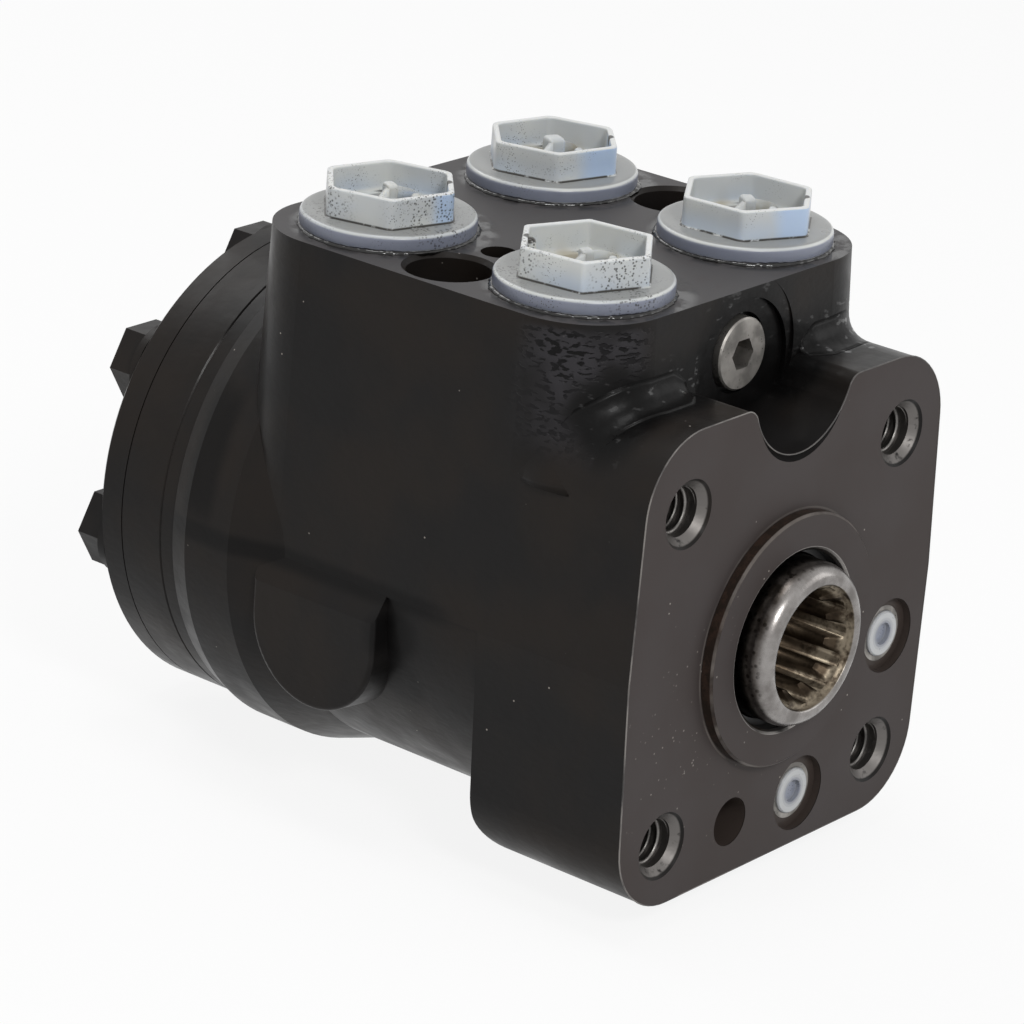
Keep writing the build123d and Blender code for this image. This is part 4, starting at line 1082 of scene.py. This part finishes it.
def fin(centre, turned, length, low, high, thickness):
    """A curved fin inside the cup: a strip of two sine-shaped sides whose height falls
    from the post to the wall as a quarter cosine."""
    t = np.linspace(0, 1, 16)
    run = t * length
    height = low + (high - low) * np.cos(t * np.pi / 2) ** 0.7
    bow = 0.6 * np.sin(np.pi * t)
    cos, sin = np.cos(np.radians(turned)), np.sin(np.radians(turned))
    half = thickness / 2
    base = disc_top - 0.2
    corners = []
    for offset, top in ((-half, 0), (half, 0), (half * 0.8, 1), (-half * 0.8, 1)):
        across = bow + offset
        x, y = centre[0] + run * cos - across * sin, centre[1] + run * sin + across * cos
        corners.append(points(x, y, base + top * height))
    return ribbon(np.stack(corners, axis=1))


print("blocks and fins ready")

# %% The four plugs
HEX_CORNERS = (0.5, 1.7, 2.0, 1.9)
POSTS = ((1.2, 1.1, 2.0), (1.6, 1.2, 2.3), (1.5, 1.0, 2.4), (1.8, 1.6, 2.5))
NUB = (1.1, 0.9, 1.7)
STUB = (1.15, 1.15, 2.7)
FIN_LENGTH = 9.3
for n, (port, centre) in enumerate(zip(PLUGS, plug_centres)):
    turned = PLUG_TURNS[n]
    post = POSTS[n]
    nub_place = (*polar(centre, 4.4, turned - 95), disc_top + 1.3)
    parts = [
        plug_shell(centre, turned, HEX_CORNERS[n]),
        soft_block((*centre, disc_top + post[2] - 0.2), post, turned + 20, 0.35),
        soft_block(nub_place, NUB, turned, 0.7),
        fin(centre, turned + 150, FIN_LENGTH, 0.7, 2 * post[2] - 0.5, 1.0),
        fin(centre, turned - 30, FIN_LENGTH, 0.7, 1.5 * post[2], 1.0),
    ]
    if n == 0:
        parts.append(soft_block((*notches[n], disc_top + 2.2), STUB, turned, 0.6))
    plug = make_piece(f"{port}_transport_plug", parts, f"plug_{port}", plug_plastic)
    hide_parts(f"plug_{port}_port")

# %% [markdown]
# ## Springs
#
# Three coil springs hold the relief poppet and the two shock balls on their seats. When a
# valve lifts, its spring is pressed together against the screw in front of it. A rigid
# spring would cut into the lifting part; here each coil is copied to an object of its own,
# which rides on the casing in the CAD node's stead, and is not squashed.

# %% Three springs
SPRINGS = {
    "relief_spring": ("relief_lift", 1.2),
    "shock_spring_right": ("shock_lift_right", 1.0),
    "shock_spring_lower": ("shock_lift_lower", 1.0),
}
for node, (joint, lift) in SPRINGS.items():
    low, high = box_of(node)
    coil = copy_of_node(node, f"{node}_coil", spring_steel)
    stand_in(coil, "casing", node)
    held = middle_of(node) * MM
    held.y = low.y * MM
    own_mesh(coil)

# %% [markdown]
# ## Rolled nose of the input spool
#
# The end of the spool is not a plain ground edge: it is rolled over in one broad curve
# from its side to a narrow flat ring round the splines. The CAD spool has the simple edge,
# so a copy of its mesh is cut with a turned solid that has the broad curve, a quarter of
# an ellipse, and the copy stands for it. Everything behind the nose stays as it was.


# %% Cut the nose
NOSE_FRONT = -6.75
NOSE_BACK = -3.3
NOSE_FLAT = 11.9
NOSE_ROLL = 2.38
CLEAR = 15.5
BEHIND = 100


def turned_solid(profile, columns=144):
    """A profile of (radius, station) points carried round the shaft's axis by an angle."""
    angle = np.linspace(0, 2 * np.pi, columns, endpoint=False)[None, :]
    radius, station = profile[:, :1], profile[:, 1:]
    return shell(points(radius * np.cos(angle), station, radius * np.sin(angle)))


def nose_profile():
    """The quarter ellipse from the nose's flat ring to its side, closed far behind."""
    roll = np.linspace(0, np.pi / 2, 22)
    radius = NOSE_FLAT + NOSE_ROLL * np.sin(roll)
    station = NOSE_BACK + (NOSE_FRONT - NOSE_BACK) * np.cos(roll)
    behind = [(CLEAR, NOSE_BACK + 0.1), (CLEAR, BEHIND), (0, BEHIND)]
    return np.concatenate([[(0, NOSE_FRONT)], points(radius, station), behind])


cutter = add_object("nose_cutter", joined_mesh("nose_cutter", [turned_solid(nose_profile())]))
spool = copy_of_node("control_spool", "rolled_input_spool", spool_steel)
cut = spool.modifiers.new("nose", "BOOLEAN")
cut.operation = "INTERSECT"
cut.solver = "EXACT"
cut.object = cutter
graph = bpy.context.evaluated_depsgraph_get()
cut_mesh = bpy.data.meshes.new_from_object(spool.evaluated_get(graph))
spool.modifiers.clear()
spool.data = cut_mesh
bpy.data.objects.remove(cutter)
clean(cut_mesh)
smooth(cut_mesh)
cut_mesh.set_sharp_from_angle(angle=np.radians(28))
cut_mesh.materials.clear()
cut_mesh.materials.append(spool_steel)
stand_in(spool, "spool", "control_spool")
print("spool faces:", len(cut_mesh.polygons))

# %% [markdown]
# ## Oily sealing compound under the discs
#
# Each disc is bedded on a smear of black compound, which has squeezed out in an uneven
# bead. It is a ring whose thickness wanders as a sum of sines, with a very glossy black
# finish that catches the lamps as small sparks.


# %% Beads under the discs
def squeezed_bead(centre, radius, seed, steps=220):
    """Sections of a ring round a plug. Its thickness and its reach are sums of sines of the
    angle, with different whole numbers of waves so that the ring closes."""
    a = np.linspace(0, 2 * np.pi, steps, endpoint=False)
    wander = 0.5 * np.sin(3 * a + seed) + 0.3 * np.sin(7 * a + 2 * seed)
    wander = wander + 0.2 * np.sin(17 * a + 3 * seed)
    ripple = 0.35 * np.sin(41 * a + seed) + 0.25 * np.sin(67 * a + 5 * seed)
    thick = 0.62 + 0.18 * wander + 0.14 * ripple
    reach = radius + 0.14 * wander + 0.06 * ripple
    b = np.linspace(0, 2 * np.pi, 8, endpoint=False)[None, :]
    out = reach[:, None] + thick[:, None] * np.cos(b)
    x = centre[0] + out * np.cos(a)[:, None]
    y = centre[1] + out * np.sin(a)[:, None]
    z = port_face + 0.02 + 0.8 * thick[:, None] * np.sin(b)
    return points(x, y, z)


COMPOUND_BLACK, COMPOUND_BROWN = (0.004, 0.004, 0.004), (0.009, 0.008, 0.007)
compound = Finish("wet black compound")
compound.link(Base_Color=compound.noise(300, 2).mix(COMPOUND_BLACK, COMPOUND_BROWN))
compound.link(Roughness=compound.noise(500, 2).mix(0.06, 0.20))
compound.bump(compound.noise(900, 2), 0.08)
compound.set(Specular_IOR_Level=0.5)
beads = [squeezed_bead(place, DISC - 0.15, n + 1.3) for n, place in enumerate(plug_centres)]
rings = [ribbon(sections, loop=True) for sections in beads]
make_piece("disc_compound", rings, "casing", compound.material)

# %% [markdown]
# ## Floor, light and camera
#
# The part stands on a pale floor under a white sky. Both look white to the camera and in
# reflections, but throw back only a little light, so the black paint stays black. Soft
# lamps in front, above, to the right and behind put broad highlights on it.


# %% Floor and backdrop
FLOOR_GREY = 0.88
FLOOR_GLOW = 0.88
FLOOR_REACH = 3.0


def seen_rays(tree):
    """1 for rays from the camera, from mirrors and through glass, and 0 for lighting."""
    rays = tree.nodes.new("ShaderNodeLightPath")
    seen = Value(tree, rays.outputs["Is Camera Ray"])
    seen = seen.either(Value(tree, rays.outputs["Is Glossy Ray"]))
    return seen.either(Value(tree, rays.outputs["Is Transmission Ray"]))


def studio_white():
    """Near white where it is seen, with a share left for the shadow, and plain pale paint
    for the light it throws back."""
    material = bpy.data.materials.new("studio white")
    material.use_nodes = True
    tree = material.node_tree
    shader = tree.nodes["Principled BSDF"]
    shader.inputs["Base Color"].default_value = (FLOOR_GREY, FLOOR_GREY, FLOOR_GREY, 1)
    shader.inputs["Roughness"].default_value = 0.9
    glow = tree.nodes.new("ShaderNodeEmission")
    glow.inputs["Strength"].default_value = 1.0
    blend = tree.nodes.new("ShaderNodeMixShader")
    tree.links.new((seen_rays(tree) * FLOOR_GLOW).socket, blend.inputs[0])
    tree.links.new(shader.outputs[0], blend.inputs[1])
    tree.links.new(glow.outputs[0], blend.inputs[2])
    tree.links.new(blend.outputs[0], tree.nodes["Material Output"].inputs["Surface"])
    return material


floor_level = cad_box[0].z - 0.02 * MM
square = [(-1, -1), (1, -1), (1, 1), (-1, 1)]
corners = [(x * FLOOR_REACH, y * FLOOR_REACH, floor_level) for x, y in square]
floor_mesh = bpy.data.meshes.new("floor")
floor_mesh.from_pydata(corners, [], [(0, 1, 2, 3)])
floor_mesh.materials.append(studio_white())
floor = add_object("floor", floor_mesh)
print("floor at", round(floor_level / MM, 2), "mm")

# %% World and lamps
WORLD_LIGHT = 0.35
world = bpy.data.worlds.new("studio")
scene.world = world
world.use_nodes = True
world_tree = world.node_tree
sky = world_tree.nodes["Background"]
strength = seen_rays(world_tree) * (1 - WORLD_LIGHT) + WORLD_LIGHT
world_tree.links.new(strength.socket, sky.inputs["Strength"])
sky.inputs["Color"].default_value = (1, 1, 1, 1)


def lamp(name, place, aim, width, height, power):
    """A soft rectangular lamp."""
    data = bpy.data.lights.new(name, "AREA")
    data.shape = "RECTANGLE"
    data.size = width
    data.size_y = height
    data.energy = power
    made = add_object(name, data)
    made.location = place
    made.rotation_euler = (Vector(aim) - Vector(place)).to_track_quat("-Z", "Y").to_euler()


middle = (cad_box[0] + cad_box[1]) / 2
lamp("key", (-0.46, -0.72, 0.68), middle, 0.22, 0.22, 5.0)
lamp("top", (-0.10, 0.10, 1.00), middle, 0.40, 0.30, 2.6)
lamp("fill", (0.75, -0.60, 0.35), middle, 0.5, 0.5, 1.0)
lamp("back", (0.1, 0.8, 0.7), middle, 0.5, 0.4, 2.0)
print("four lamps")

# %% Camera
CAMERA_PLACE = Vector((-0.57746, -0.40474, 0.28732))
LOOKS_ALONG = Vector((0.7282, 0.5855, -0.3564)).normalized()
CAMERA_UP = Vector((0.2351, 0.2751, 0.9322)).normalized()
camera_data = bpy.data.cameras.new("camera")
camera_data.sensor_width = 36.0
camera_data.lens = 160.65
camera = add_object("camera", camera_data)
right = LOOKS_ALONG.cross(CAMERA_UP).normalized()
up = right.cross(LOOKS_ALONG)
turn = Matrix((right, up, -LOOKS_ALONG)).transposed().to_4x4()
camera.matrix_world = Matrix.Translation(CAMERA_PLACE) @ turn
scene.camera = camera
scene.view_settings.view_transform = "Standard"
print("camera at", [round(v, 3) for v in camera.location])
